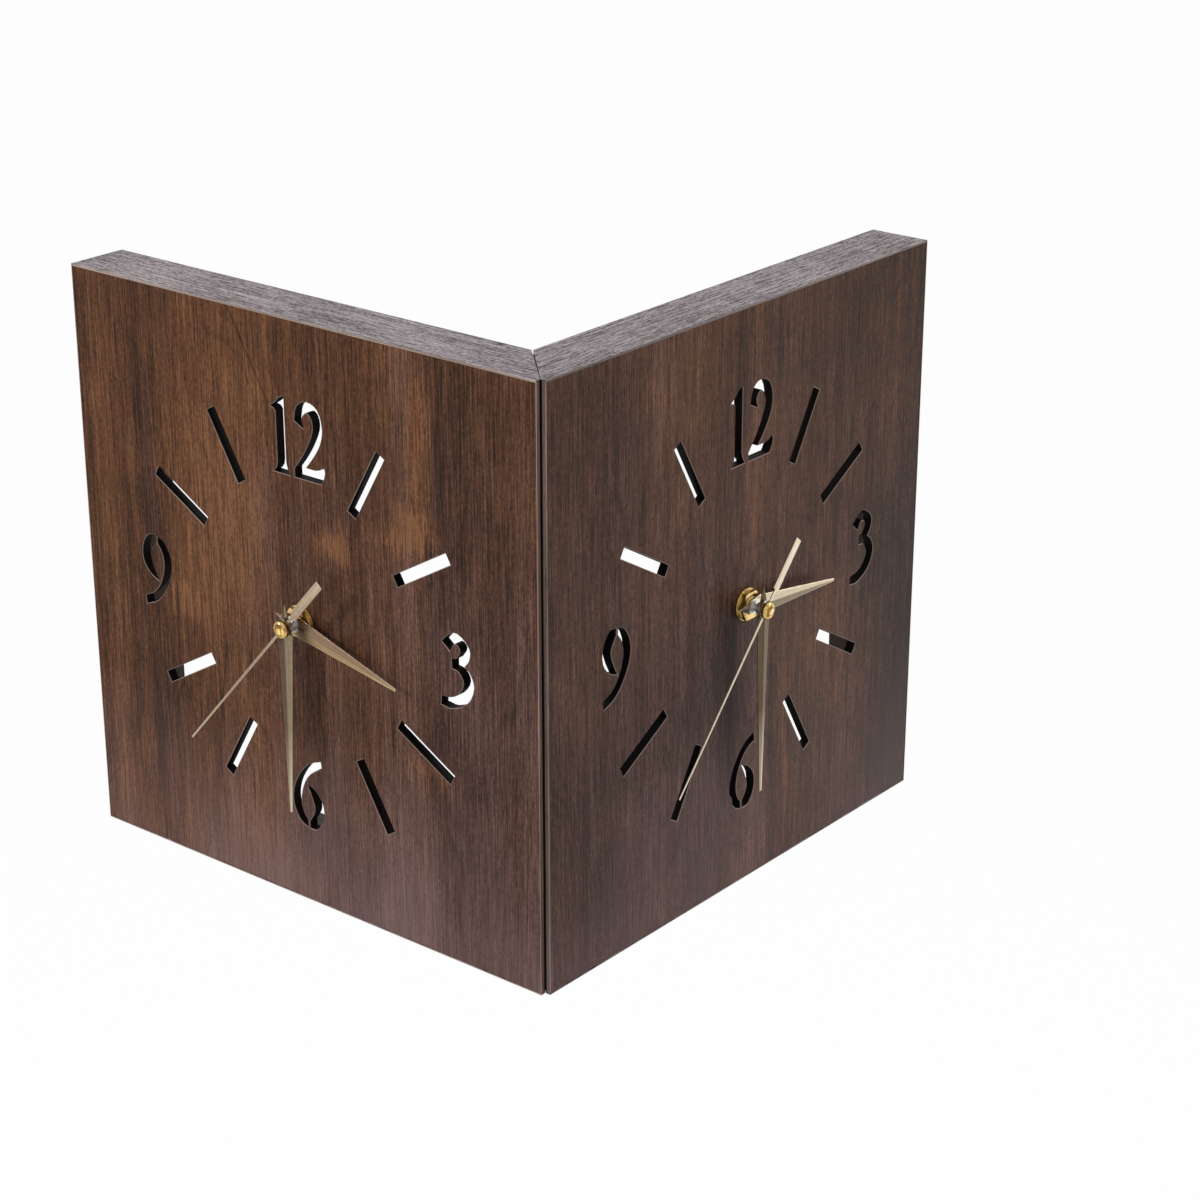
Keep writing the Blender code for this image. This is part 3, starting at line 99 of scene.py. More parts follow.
# Moulded details of the movement's cover: back face, relief, knob ring, signs and panel
COVER_BACK = -0.0206
COVER_RELIEF = 0.0003
KNOB_RING = (0.0062, 0.0070)
SIGN_X = 0.0215
SIGN_Y = -0.0076
SIGN_ARM = 0.0015
SIGN_HALF_WIDTH = 0.00035
COVER_PANEL = (-0.0110, 0.0170, 0.0110, 0.0045)

# Other small parts: screw recess, coil, contact strips and battery, as in the part
RECESS_ARM = 0.0015
RECESS_HALF_WIDTH = 0.0003
RECESS_DEPTH = 0.0011
STATOR_THICKNESS = 0.0011
COIL_CHEEK = 0.0017
WIRE_PITCH = 0.00022
WIRE_RELIEF = 0.00006
CONTACT_FROM = 0.0254
BATTERY_HALF = 0.0246
SCUFF_RELIEF = 0.00002
BEYOND = 0.001

# Sizes on the hands' axis, as in the part
ROUND_FACETS = 96
SMALL_FACETS = 64
TUBE_FACETS = 48
BUSH_RADIUS = 0.004
BUSH_FLANGE_RADIUS = 0.0055
BUSH_FLANGE_TOP = -0.0059
BUSH_FLANGE_BACK = -0.0069
BUSH_TOP = 0.0036
THREAD_PITCH = 0.0005
THREAD_DEPTH = 0.00022
WASHER_RADIUS = 0.0072
WASHER_BOTTOM = 0.0001
WASHER_TOP = 0.0007
NUT_ACROSS_FLATS = 0.012
NUT_BOTTOM = 0.0008
NUT_TOP = 0.0030
NUT_CHAMFER = 0.0005
SHAFT_RADIUS = 0.00055
MINUTE_PIPE_RADIUS = 0.00173
HOUR_PIPE_RADIUS = 0.00251
BORE_GAP = 0.00006
HOUR_PLANE = 0.0043
MINUTE_PLANE = 0.0090
SECOND_PLANE = 0.0106
HAND_SHEET = 0.00035
HAND_RIDGE = 0.0007
HAND_TIP_HALF_WIDTH = 0.0007
HAND_WIDEST_AT = 0.003
HAND_EDGE = 0.00005
COLLET_WALL = 0.0008
SECOND_THICKNESS = 0.0004
SECOND_LENGTH = 0.088
SECOND_TIP_HALF_WIDTH = 0.00045
SECOND_HALF_WIDTH = 0.0007
COUNTERWEIGHT = (0.0095, 0.0335)
COUNTERWEIGHT_HALF_WIDTH = 0.0020
SECOND_HUB_RADII = (0.0019, 0.0020)
SECOND_TUBE_RADIUS = 0.00132
SECOND_TUBE_DROP = 0.0004
CAP_RADIUS = 0.00398
CAP_BOTTOM = 0.0109
CAP_TOP = 0.0135
CAP_RIM = 0.0007
CAP_EDGE = 0.0001
CAP_ROOF_RISE = 0.0003
DOME_RINGS = 14
BORE_REACH = 0.05

# The folded hands: length, tail, half width, plane, pipe radius and collet drop, in metres
FOLDED_HANDS = {
    "hour": (0.0587, 0.0105, 0.0045, HOUR_PLANE, HOUR_PIPE_RADIUS, 0.0003),
    "minute": (0.0845, 0.0110, 0.0041, MINUTE_PLANE, MINUTE_PIPE_RADIUS, 0.0020),
}

SIDES = ("left", "right")
TO_APEX = {"left": 1, "right": -1}
JOINTS = {joint["name"]: joint for joint in frame["joints"]}
BODY_OF = {node: body for body, nodes in frame["record"]["behaviour"]["bodies"].items()
           for node in nodes}

# Rest angles of the hands, clockwise from twelve, in degrees
HAND_ANGLES = {
    "left": {"hour": 103.7, "minute": 180.8, "second": 221.6},
    "right": {"hour": 95.8, "minute": 179.4, "second": 221.5},
}


def dial_frame(side):
    """Places x right, y up and z out of a dial, with its origin on the hands' axis."""
    centre = Vector(JOINTS[side + "_second_turn"]["pos_m"])
    out = -Vector(JOINTS[side + "_second_turn"]["axis"])
    up = Vector((0, 0, 1))
    axes = Matrix((up.cross(out), up, out)).transposed()
    return Matrix.Translation(centre) @ axes.to_4x4()


DIALS = {side: dial_frame(side) for side in SIDES}
TO_DIAL = {side: DIALS[side].inverted() for side in SIDES}


# Node trees

def new_tree(name):
    """A material and its node tree, which starts with a Principled shader."""
    material = bpy.data.materials.new(name)
    material.use_nodes = True
    return material, material.node_tree


def add(tree, kind, inputs=(), **settings):
    """A node with its settings and inputs, each input a value or another node's output."""
    made = tree.nodes.new("ShaderNode" + kind)
    for name, value in settings.items():
        setattr(made, name, value)
    for socket, value in dict(inputs).items():
        if isinstance(value, bpy.types.NodeSocket):
            tree.links.new(value, made.inputs[socket])
        else:
            made.inputs[socket].default_value = value
    return made


def position(tree):
    """Where a point is in the row frame."""
    return add(tree, "TexCoord").outputs["Object"]


def split(tree, vector):
    """The three parts of a vector."""
    return add(tree, "SeparateXYZ", {"Vector": vector}).outputs


def place(tree, scale, offset=(0, 0, 0)):
    """Positions in the row frame, scaled and moved for a texture."""
    made = add(tree, "Mapping", {"Vector": position(tree), "Location": offset, "Scale": scale})
    return made.outputs["Vector"]


def noise(tree, vector, detail=2.0, roughness=0.5, distortion=0.0):
    """Noise from 0 to 1."""
    made = add(tree, "TexNoise", {"Vector": vector, "Scale": 1.0, "Detail": detail,
                                  "Roughness": roughness, "Distortion": distortion})
    return made.outputs[0]


def even_noise(tree, scale, detail, roughness=0.5):
    """Noise at the same scale along all three axes."""
    return noise(tree, place(tree, (scale, scale, scale)), detail, roughness)


def calc(tree, operation, first, second=0.0, third=0.0):
    """One sum on numbers."""
    return add(tree, "Math", {0: first, 1: second, 2: third}, operation=operation).outputs[0]


def plus(tree, value, share, base):
    """A base with a share of a value added."""
    return calc(tree, "MULTIPLY_ADD", value, share, base)


def minus(tree, first, second):
    """The difference of two numbers."""
    return calc(tree, "SUBTRACT", first, second)


def times(tree, first, second):
    """The product of two numbers."""
    return calc(tree, "MULTIPLY", first, second)


def swing(tree, value, share, base):
    """A base moved up or down by a share of how far noise is from its middle."""
    return plus(tree, minus(tree, value, 0.5), share, base)


def spread(tree, value, low, high, to_low=0.0, to_high=1.0):
    """A value between two limits, spread over two others."""
    made = add(tree, "MapRange", {"Value": value, "From Min": low, "From Max": high,
                                  "To Min": to_low, "To Max": to_high})
    return made.outputs[0]


def uneven(tree, value, low, high):
    """Noise, which stays mostly near its middle, spread between two roughnesses."""
    return spread(tree, value, 0.3, 0.7, low, high)


def ramp(tree, value, stops, smooth=False):
    """A colour for each value, from stops of (place, colour)."""
    made = add(tree, "ValToRGB", {0: value})
    made.color_ramp.interpolation = "EASE" if smooth else "LINEAR"
    elements = made.color_ramp.elements
    for index, (where, colour) in enumerate(stops):
        stop = elements[index] if index < 2 else elements.new(where)
        stop.position = where
        stop.color = (*colour, 1.0)
    return made.outputs[0]


def toned(tree, shade, colour, darker, lighter):
    """A colour between a darker and a lighter tone of it."""
    low = tuple(part * darker for part in colour)
    high = tuple(min(1.0, part * lighter) for part in colour)
    return ramp(tree, shade, ((0.1, low), (0.5, colour), (0.9, high)))


def blend(tree, share, first, second, mode="MIX"):
    """Two colours mixed, each a value or an output."""
    inputs = {0: share}
    for socket, colour in ((6, first), (7, second)):
        inputs[socket] = colour if isinstance(colour, bpy.types.NodeSocket) else (*colour, 1.0)
    return add(tree, "Mix", inputs, data_type="RGBA", blend_type=mode).outputs[2]


SOCKETS = {"metallic": "Metallic", "specular": "Specular IOR Level", "coat": "Coat Weight"}


def fed(material, colour, roughness, height, depth, strength, **fixed):
    """A material with what varies connected to its shader and the rest set on it.

    The relief has a height from 0 to 1, a real depth in metres and a strength.
    """
    tree = material.node_tree
    shader = tree.nodes["Principled BSDF"]
    relief = add(tree, "Bump", {"Height": height, "Distance": depth, "Strength": strength})
    tree.links.new(colour, shader.inputs["Base Color"])
    tree.links.new(roughness, shader.inputs["Roughness"])
    tree.links.new(relief.outputs["Normal"], shader.inputs["Normal"])
    for name, value in fixed.items():
        shader.inputs[SOCKETS[name]].default_value = value
    return material


# Wood

# Tones from the darkest to the lightest, for the warm and the cool parts of the figure
WALNUT_WARM = (
    (0.020, 0.0085, 0.0045), (0.045, 0.0180, 0.0085), (0.086, 0.0345, 0.0155),
    (0.131, 0.0545, 0.0240), (0.210, 0.0950, 0.0430),
)
WALNUT_COOL = (
    (0.020, 0.0100, 0.0075), (0.042, 0.0200, 0.0150), (0.073, 0.0370, 0.0300),
    (0.108, 0.0570, 0.0480), (0.165, 0.0920, 0.0780),
)
# Broad upright bands of each face: distance along the dial in metres and how light they are
WALNUT_BANDS = {
    "left": ((-0.130, 0.40), (-0.118, 0.58), (-0.104, 0.50), (-0.094, 0.34), (-0.070, 0.62),
             (-0.030, 0.74), (-0.013, 0.66), (-0.008, 0.46), (0.012, 0.52), (0.040, 0.56),
             (0.064, 0.66), (0.078, 0.38), (0.100, 0.49), (0.125, 0.57)),
    "right": ((-0.130, 0.30), (-0.100, 0.34), (-0.062, 0.47), (-0.030, 0.42), (-0.006, 0.33),
              (0.006, 0.56), (0.018, 0.41), (0.050, 0.34), (0.078, 0.25), (0.105, 0.21),
              (0.125, 0.10)),
}
# Soft light and dark patches, one of them a painted shadow: dial x and z, half width and half height in metres,
# strength
WALNUT_PATCHES = {
    "left": ((0.066, 0.085, 0.006, 0.034, 0.22), (0.063, 0.052, 0.016, 0.008, 0.40),
             (0.020, 0.036, 0.012, 0.007, 0.42), (-0.050, 0.060, 0.034, 0.055, 0.10),
             (-0.072, -0.008, 0.012, 0.007, 0.24), (0.072, -0.050, 0.013, 0.006, 0.30),
             (0.002, -0.120, 0.008, 0.014, 0.20), (0.024, -0.004, 0.024, 0.026, 0.07),
             (-0.094, 0.040, 0.006, 0.050, -0.14)),
    "right": ((0.029, -0.065, 0.0022, 0.060, 0.24), (-0.085, -0.075, 0.035, 0.045, -0.12),
              # The right patch at x -0.012 below the hub is a painted shadow of the minute hand, which falls to
              # its left
              (0.112, -0.100, 0.020, 0.030, -0.20), (-0.012, -0.040, 0.009, 0.040, -0.14),
              (0.030, 0.070, 0.028, 0.045, 0.08), (0.060, -0.040, 0.018, 0.035, 0.10),
              (0.085, 0.060, 0.030, 0.050, 0.06)),
}
# The dark line left of the twelve, which leans over near the top: x, z and lean, half width
# and the heights between which it fades
WALNUT_LINE = (-0.013, 0.092, 0.60)
LINE_HALF_WIDTH = (0.0011, 0.0002)
LINE_ABOVE = (0.015, 0.060)
WALNUT_SEED = {"left": (3.1, 0.0, 0.7), "right": (0.0, 11.3, 5.2)}
# Noise layers of the figure: scale across and along the grain, detail and roughness
WALNUT_LAYERS = {
    "sway": (9, 5, 1.0, 0.5),
    "fine_sway": (60, 9, 1.0, 0.5),
    "clouds": (20, 13, 2.0, 0.6),
    "shimmer": (42, 75, 1.0, 0.5),
    "streaks": (230, 4, 3.0, 0.7),
    "threads": (950, 12, 2.0, 0.65),
    "fibres": (1800, 40, 1.0, 0.5),
    "flecks": (1700, 170, 1.0, 0.5),
    "mottle": (800, 560, 2.0, 0.7),
}
# How much each layer, and each kind of line, lightens or darkens the wood
WALNUT_SHARES = (("clouds", 0.70), ("streaks", 0.80), ("threads", 0.70), ("fibres", 1.30),
                 ("mottle", 0.90))
RING_SHARE = 0.035
RING_LINE_SHARE = -0.12
THIN_RING_SHARE = -0.18
LINE_SHARE = -0.30
PORE_SHARE = -0.28
# Broad and fine growth rings: how strongly the figure bends them and how close they are
WALNUT_RINGS = ((70.0, 230.0), (160.0, 640.0))
THIN_RINGS_BELOW = (0.035, -0.035)
# How far the bands sway, broadly and finely, in metres
BROAD_SWAY = 0.026
FINE_SWAY = 0.006
# How cool each face is at its middle, and how much cooler for each metre to the apex and down
WALNUT_COOLNESS = {"left": (0.32, 4.4, 3.4), "right": (0.54, 2.0, 2.6)}
WALNUT_SHADE = 0.03
# Painted sheen near the bottom edge, standing in for light reflected low down: heights, how much lighter the wood
# is painted, share and colour of a painted grey sheen
PAINTED_SHEEN_HEIGHTS = (-0.050, -0.125)
WALNUT_PAINTED_SHEEN_LIFT = {"left": 0.14, "right": 0.06}
WALNUT_PAINTED_SHEEN_SHARE = {"left": 0.34, "right": 0.18}
PAINTED_SHEEN_COLOUR = (0.195, 0.126, 0.126)
WALNUT_ROUGHNESS = (0.36, 0.48)
PORE_DEPTH = 0.00004
# Painted shade: the apex edges of the boards are painted nearly black where they run into the gap between the
# halves, for the shade deep in the groove
LAND_PAINTED_SHADE = (-0.0267, -0.0265)
GAP_PAINTED_SHADE = (0.016, 0.008, 0.007)


def dial_x(tree, side):
    """The dial's x of a point, and its height."""
    parts = split(tree, position(tree))
    centre = DIALS[side].translation
    if side == "left":
        return minus(tree, centre.y, parts["Y"]), parts["Z"]
    return minus(tree, parts["X"], centre.x), parts["Z"]


def patch(tree, x, z, middle_x, middle_z, half_x, half_z):
    """1 in the middle of an oval patch, falling softly to 0 a little outside its rim."""
    across = calc(tree, "DIVIDE", minus(tree, x, middle_x), half_x)
    upright = calc(tree, "DIVIDE", minus(tree, z, middle_z), half_z)
    return spread(tree, plus(tree, across, across, times(tree, upright, upright)), 1.6, 0.2)


def walnut(side):
    """Walnut laminate with its grain upright, lighter and darker bands and open pores, a painted sheen near the
    bottom and, on the right, a painted shadow of the minute hand.
    """
    material, tree = new_tree(side + "_walnut")
    seed = WALNUT_SEED[side]
    x, z = dial_x(tree, side)
    layers = {}
    for name, (across, along, detail, roughness) in WALNUT_LAYERS.items():
        where = place(tree, (across, across, along), seed)
        layers[name] = noise(tree, where, detail, roughness)
    finely_swayed = swing(tree, layers["fine_sway"], FINE_SWAY, x)
    swayed = swing(tree, layers["sway"], BROAD_SWAY, finely_swayed)
    bands = ramp(tree, spread(tree, swayed, -HALF_SIDE, HALF_SIDE),
                 [((at + HALF_SIDE) / 2 / HALF_SIDE, (tone, tone, tone))
                  for at, tone in WALNUT_BANDS[side]], smooth=True)
    figure = noise(tree, place(tree, (13, 13, 3.6), seed), 1.5, distortion=0.3)
    rings, fine_rings = (
        calc(tree, "SINE", plus(tree, figure, bend, times(tree, x, closeness)))
        for bend, closeness in WALNUT_RINGS)
    tone = calc(tree, "ADD", bands, WALNUT_SHADE)
    threads = layers["threads"]
    ragged_z = swing(tree, threads, 0.050, swing(tree, layers["shimmer"], 0.020, z))
    glow = 0.0
    # The patches lighten or darken the tone, one of them as a painted shadow
    for *oval, strength in WALNUT_PATCHES[side]:
        glow = plus(tree, patch(tree, swayed, ragged_z, *oval), strength, glow)
    tone = calc(tree, "ADD", tone, glow)
    tone = plus(tree, rings, RING_SHARE, tone)
    tone = plus(tree, spread(tree, rings, 0.94, 1.0), RING_LINE_SHARE, tone)
    thin = times(tree, spread(tree, fine_rings, 0.86, 1.0),
                 spread(tree, layers["clouds"], 0.58, 0.42))
    thin = times(tree, thin, spread(tree, z, *THIN_RINGS_BELOW))
    tone = plus(tree, thin, THIN_RING_SHARE, tone)
    if side == "left":
        place_x, bend_z, lean = WALNUT_LINE
        above = calc(tree, "MAXIMUM", minus(tree, z, bend_z))
        beside = minus(tree, finely_swayed, place_x)
        gap = calc(tree, "ABSOLUTE", plus(tree, above, lean, beside))
        line = times(tree, spread(tree, gap, *LINE_HALF_WIDTH), spread(tree, z, *LINE_ABOVE))
        tone = plus(tree, line, LINE_SHARE, tone)
    for name, share in WALNUT_SHARES:
        tone = swing(tree, layers[name], share, tone)
    pores = spread(tree, layers["flecks"], 0.59, 0.68)
    tone = plus(tree, pores, PORE_SHARE, tone)
    # Painted sheen: the wood is painted lighter towards the bottom edge, for light reflected low down
    painted_sheen_low = spread(tree, z, *PAINTED_SHEEN_HEIGHTS)
    tone = plus(tree, painted_sheen_low, WALNUT_PAINTED_SHEEN_LIFT[side], tone)
    middle, to_apex, down = WALNUT_COOLNESS[side]
    coolness = plus(tree, x, TO_APEX[side] * to_apex, middle)
    coolness = plus(tree, z, -down, coolness)
    coolness = plus(tree, glow, -1.4, coolness)
    drift = noise(tree, place(tree, (14, 14, 7), (5, 2, 1)), 2.0)
    coolness = swing(tree, layers["streaks"], 1.4, swing(tree, drift, 1.6, coolness))
    coolness = spread(tree, coolness, 0.0, 1.0)
    warm, cool = (ramp(tree, tone, [(0.25 * step, colour) for step, colour in enumerate(tones)])
                  for tones in (WALNUT_WARM, WALNUT_COOL))
    colour = blend(tree, coolness, warm, cool)
    # Painted sheen: a grey painted reflection mixed in near the bottom edge
    painted_sheen_mix = times(tree, times(tree, painted_sheen_low, WALNUT_PAINTED_SHEEN_SHARE[side]),
                 spread(tree, drift, 0.30, 0.60, 0.4, 1.4))
    colour = blend(tree, painted_sheen_mix, colour, PAINTED_SHEEN_COLOUR)
    relief = plus(tree, pores, -1.0, times(tree, threads, 0.7))
    return fed(material, colour, uneven(tree, threads, *WALNUT_ROUGHNESS), relief, PORE_DEPTH,
               0.6, specular=0.07)


def grained(name, along, dark, light, roughness, relief, coarse=90.0, fine=900.0,
            length=18.0, contrast=1.0, speckle=0.0, painted_shade_end=None, **fixed):
    """Wood or foil with its grain along one axis, from a dark to a light tone.

    A painted shade end is an axis and the two places between which the surface is painted nearly black, as shade.
    """
    material, tree = new_tree(name)

    def stretched(cross, lengthways):
        return tuple(lengthways if axis == along else cross for axis in range(3))

    broad = noise(tree, place(tree, stretched(coarse, length / 6)), 3.0, 0.6)
    thin = noise(tree, place(tree, stretched(fine, length)), 2.0, 0.65)
    specks = noise(tree, place(tree, stretched(1700.0, 110.0)), 1.0)
    patches = even_noise(tree, 24, 1.0)
    pores = spread(tree, specks, 0.60, 0.72)
    tone = swing(tree, broad, 0.9 * contrast, 0.5)
    tone = swing(tree, thin, 1.3 * contrast, tone)
    tone = swing(tree, patches, 0.4, tone)
    tone = plus(tree, pores, -0.35 * contrast, tone)
    if speckle:
        spots = noise(tree, place(tree, stretched(1100.0, 500.0)), 2.0, 0.7)
        tone = swing(tree, spots, speckle, tone)
    middle = tuple((low + high) / 2.2 for low, high in zip(dark, light))
    colour = ramp(tree, tone, ((0.1, dark), (0.5, middle), (0.95, light)))
    # Painted shade, nearly black, towards one end, for the shade deep in a gap
    if painted_shade_end:
        axis, begins, full = painted_shade_end
        share = spread(tree, split(tree, position(tree))[axis], begins, full)
        colour = blend(tree, share, colour, GAP_PAINTED_SHADE)
    rough = uneven(tree, thin, roughness - 0.06, roughness + 0.06)
    return fed(material, colour, rough, minus(tree, thin, pores), relief, 0.7, **fixed)


# Tint of the lighter specks of a plain surface, and how much lighter worn edges are
SPECK_TINT = (1.15, 1.1, 1.0)
WORN_GAIN = 1.25


def speckled(name, colour, variation, roughness, grain, relief, **fixed):
    """A cast, moulded or pressed surface with a fine even grain and slight patches."""
    material, tree = new_tree(name)
    grains = even_noise(tree, grain, 2.0, 0.6)
    patches = even_noise(tree, 45, 3.0, 0.6)
    shade = swing(tree, grains, variation, swing(tree, patches, variation, 0.5))
    low = tuple(part * (1 - variation) for part in colour)
    high = tuple(min(1.0, part * (1 + variation) * more)
                 for part, more in zip(colour, SPECK_TINT))
    mixed = ramp(tree, shade, ((0.15, low), (0.5, colour), (0.85, high)))
    rough = uneven(tree, patches, roughness - 0.07, roughness + 0.07)
    return fed(material, mixed, rough, grains, relief, 0.5, **fixed)


def brushed(name, colour, roughness, relief):
    """Metal with fine brush strokes, small stains and brighter worn edges."""
    material, tree = new_tree(name)
    strokes = noise(tree, place(tree, (2600, 2600, 160)), 2.0, 0.7)
    cross = noise(tree, place(tree, (160, 160, 2600), (4, 1, 2)), 2.0, 0.7)
    stains = even_noise(tree, 140, 3.0, 0.6)
    marks = plus(tree, cross, 0.4, times(tree, strokes, 0.6))
    shade = swing(tree, stains, 0.5, swing(tree, marks, 0.8, 0.5))
    wear = spread(tree, add(tree, "NewGeometry").outputs["Pointiness"], 0.52, 0.62)
    worn = tuple(min(1.0, part * WORN_GAIN) for part in colour)
    mixed = blend(tree, wear, toned(tree, shade, colour, 0.66, 1.22), worn)
    rough = uneven(tree, marks, roughness - 0.05, roughness + 0.07)
    return fed(material, mixed, rough, marks, relief, 0.5, metallic=1.0)


def along_hand(tree, side, hand):
    """Texture positions with y along a hand at rest and x across it, in metres."""
    angle = math.radians(HAND_ANGLES[side][hand])
    turn = DIALS[side].to_3x3()
    crosswise = turn @ Vector((math.cos(angle), -math.sin(angle), 0))
    lengthwise = turn @ Vector((math.sin(angle), math.cos(angle), 0))
    centred = add(tree, "VectorMath", {0: position(tree), 1: DIALS[side].translation},
                  operation="SUBTRACT").outputs[0]
    across, along = (add(tree, "VectorMath", {0: centred, 1: direction},
                         operation="DOT_PRODUCT").outputs["Value"]
                     for direction in (crosswise, lengthwise))
    return add(tree, "CombineXYZ", {"X": across, "Y": along}).outputs[0]


def hand_metal(side, hand, tones):
    """Champagne metal, brushed along a hand, with a painted lit and a painted shaded tone either side of its fold,
    painted highlights on its rims and hub and painted light towards its tip.
    """
    material, tree = new_tree(f"{side}_{hand}_hand_metal")
    where = along_hand(tree, side, hand)
    strokes, bands = (
        noise(tree, add(tree, "Mapping", {"Vector": where, "Scale": scale}).outputs[0], 2.0, rough)
        for scale, rough in (((3200, 90, 1), 0.7), ((900, 16, 1), 0.6)))
    mottle = even_noise(tree, 600, 3.0, 0.7)
    shade = swing(tree, mottle, 0.9, swing(tree, bands, 1.3, swing(tree, strokes, 1.0, 0.5)))
    across, outwards, _ = split(tree, where)
    # Painted light and shade: a lit and a shaded tone, one for each facet of the fold
    lit_and_shaded_facets = [toned(tree, shade, colour, 0.72, 1.28) for colour in tones]
    mixed = blend(tree, spread(tree, across, -HAND_FOLD, HAND_FOLD), *lit_and_shaded_facets)
    if hand in FOLDED_HANDS:
        length, _, half_width = FOLDED_HANDS[hand][:3]
        rim_at = spread(tree, outwards, HAND_WIDEST_AT, length, half_width, HAND_TIP_HALF_WIDTH)
        inside = minus(tree, rim_at, calc(tree, "ABSOLUTE", across))
        # Painted highlight along the cut rims
        on_rim = spread(tree, inside, *HAND_RIM_HIGHLIGHT_FADE)
        mixed = blend(tree, on_rim, mixed, HAND_RIM_HIGHLIGHT_GAIN, "MULTIPLY")
    # Painted light towards the tip
    mixed = blend(tree, spread(tree, outwards, *HAND_TIP_LIGHT_FADE), mixed, HAND_TIP_LIGHT_COLOUR[side])
    radius = add(tree, "VectorMath", {0: where}, operation="LENGTH").outputs["Value"]
    # Painted highlight at the hub, lightening it against the shade under the cap
    mixed = blend(tree, spread(tree, radius, *HAND_HUB_HIGHLIGHT_FADE), mixed, HAND_HUB_HIGHLIGHT_COLOUR)
    return fed(material, mixed, uneven(tree, strokes, *HAND_ROUGHNESS), strokes, HAND_RELIEF,
               0.6, metallic=1.0)


# Painted reflections on the cap: its tones from its middle to its rim, dark bands standing in for dark
# surroundings reflected in the polished dome, and how far noise shifts them, in metres
CAP_PAINTED_REFLECTIONS = (
    (0.0, (0.74, 0.54, 0.21)), (0.32, (0.66, 0.45, 0.15)), (0.46, (0.20, 0.105, 0.030)),
    (0.60, (0.26, 0.145, 0.045)), (0.74, (0.68, 0.46, 0.15)), (0.90, (0.50, 0.33, 0.11)),
    (1.0, (0.24, 0.15, 0.055)),
)
CAP_REFLECTION_WOBBLE = 0.0030
CAP_RELIEF = 0.000008


def cap_brass(side):
    """Polished brass, turned on a lathe, with rings of painted reflection, light and dark, round its dome."""
    material, tree = new_tree(side + "_cap_brass")
    x, z = dial_x(tree, side)
    radius = calc(tree, "SQRT", plus(tree, x, x, times(tree, z, z)))
    stains = even_noise(tree, 420, 2.0, 0.6)
    # The noise wobbles the rings of painted reflection
    ring = spread(tree, swing(tree, stains, CAP_REFLECTION_WOBBLE, radius), 0.0, CAP_RADIUS)
    return fed(material, ramp(tree, ring, CAP_PAINTED_REFLECTIONS), uneven(tree, stains, 0.10, 0.20), stains,
               CAP_RELIEF, 0.5, metallic=1.0)


def wound_copper():
    """Fine enamelled wire wound side by side, its turns upright."""
    material, tree = new_tree("wound_copper")
    x, y, _ = split(tree, position(tree))
    along = calc(tree, "ADD", x, y)
    turns = calc(tree, "SINE", times(tree, along, 2 * math.pi / WIRE_PITCH))
    stains = noise(tree, place(tree, (900, 900, 300)))
    shade = swing(tree, stains, 0.8, plus(tree, turns, 0.22, 0.5))
    colour = ramp(tree, shade, ((0.1, (0.28, 0.075, 0.03)), (0.5, (0.62, 0.22, 0.09)),
                                (0.9, (0.85, 0.42, 0.20))))
    return fed(material, colour, uneven(tree, stains, 0.24, 0.40), turns, WIRE_RELIEF, 0.7,
               metallic=1.0, coat=0.4)


# The battery's bare ends and its jacket's two tones: where each begins and ends, of its length
BARE_METAL = (0.50, 0.49, 0.47)
BATTERY_TONES = (
    (0.0, 0.022, BARE_METAL), (0.028, 0.30, (0.46, 0.20, 0.07)),
    (0.306, 0.975, (0.022, 0.024, 0.028)), (0.980, 1.0, BARE_METAL),
)


def battery_jacket(side):
    """A plain two-tone foil jacket between bare metal ends."""
    material, tree = new_tree(side + "_battery_jacket")
    x, _ = dial_x(tree, side)
    stops = [(at, colour) for start, end, colour in BATTERY_TONES for at in (start, end)]
    along = spread(tree, minus(tree, BATTERY_HALF, x), 0.0, 2 * BATTERY_HALF)
    tones = ramp(tree, along, stops)
    scuffs = noise(tree, place(tree, (420, 420, 900)), 4.0, 0.7)
    worn = spread(tree, scuffs, 0.60, 0.74, 0.0, 0.5)
    colour = blend(tree, worn, tones, (0.30, 0.29, 0.28))
    rough = spread(tree, scuffs, 0.35, 0.7, 0.24, 0.42)
    return fed(material, colour, rough, scuffs, SCUFF_RELIEF, 0.5, metallic=0.55, coat=0.3)


# The hands' fold between the painted lit and shaded facets, and the painted highlights on their cut rims and hubs
# and painted light on their tips: colours, and distances in metres between which each takes over, from the rim,
# along the hand and from the axis
HAND_FOLD = 0.00004
HAND_RIM_HIGHLIGHT_GAIN = (1.6, 1.6, 1.6)
HAND_RIM_HIGHLIGHT_FADE = (0.00045, 0.00015)
HAND_TIP_LIGHT_COLOUR = {"left": (0.50, 0.41, 0.29), "right": (0.60, 0.52, 0.38)}
HAND_TIP_LIGHT_FADE = (0.045, 0.088, 0.0, 0.75)
HAND_HUB_HIGHLIGHT_COLOUR = (0.72, 0.66, 0.56)
HAND_HUB_HIGHLIGHT_FADE = (0.0040, 0.0030)
HAND_ROUGHNESS = (0.28, 0.42)
HAND_RELIEF = 0.00001
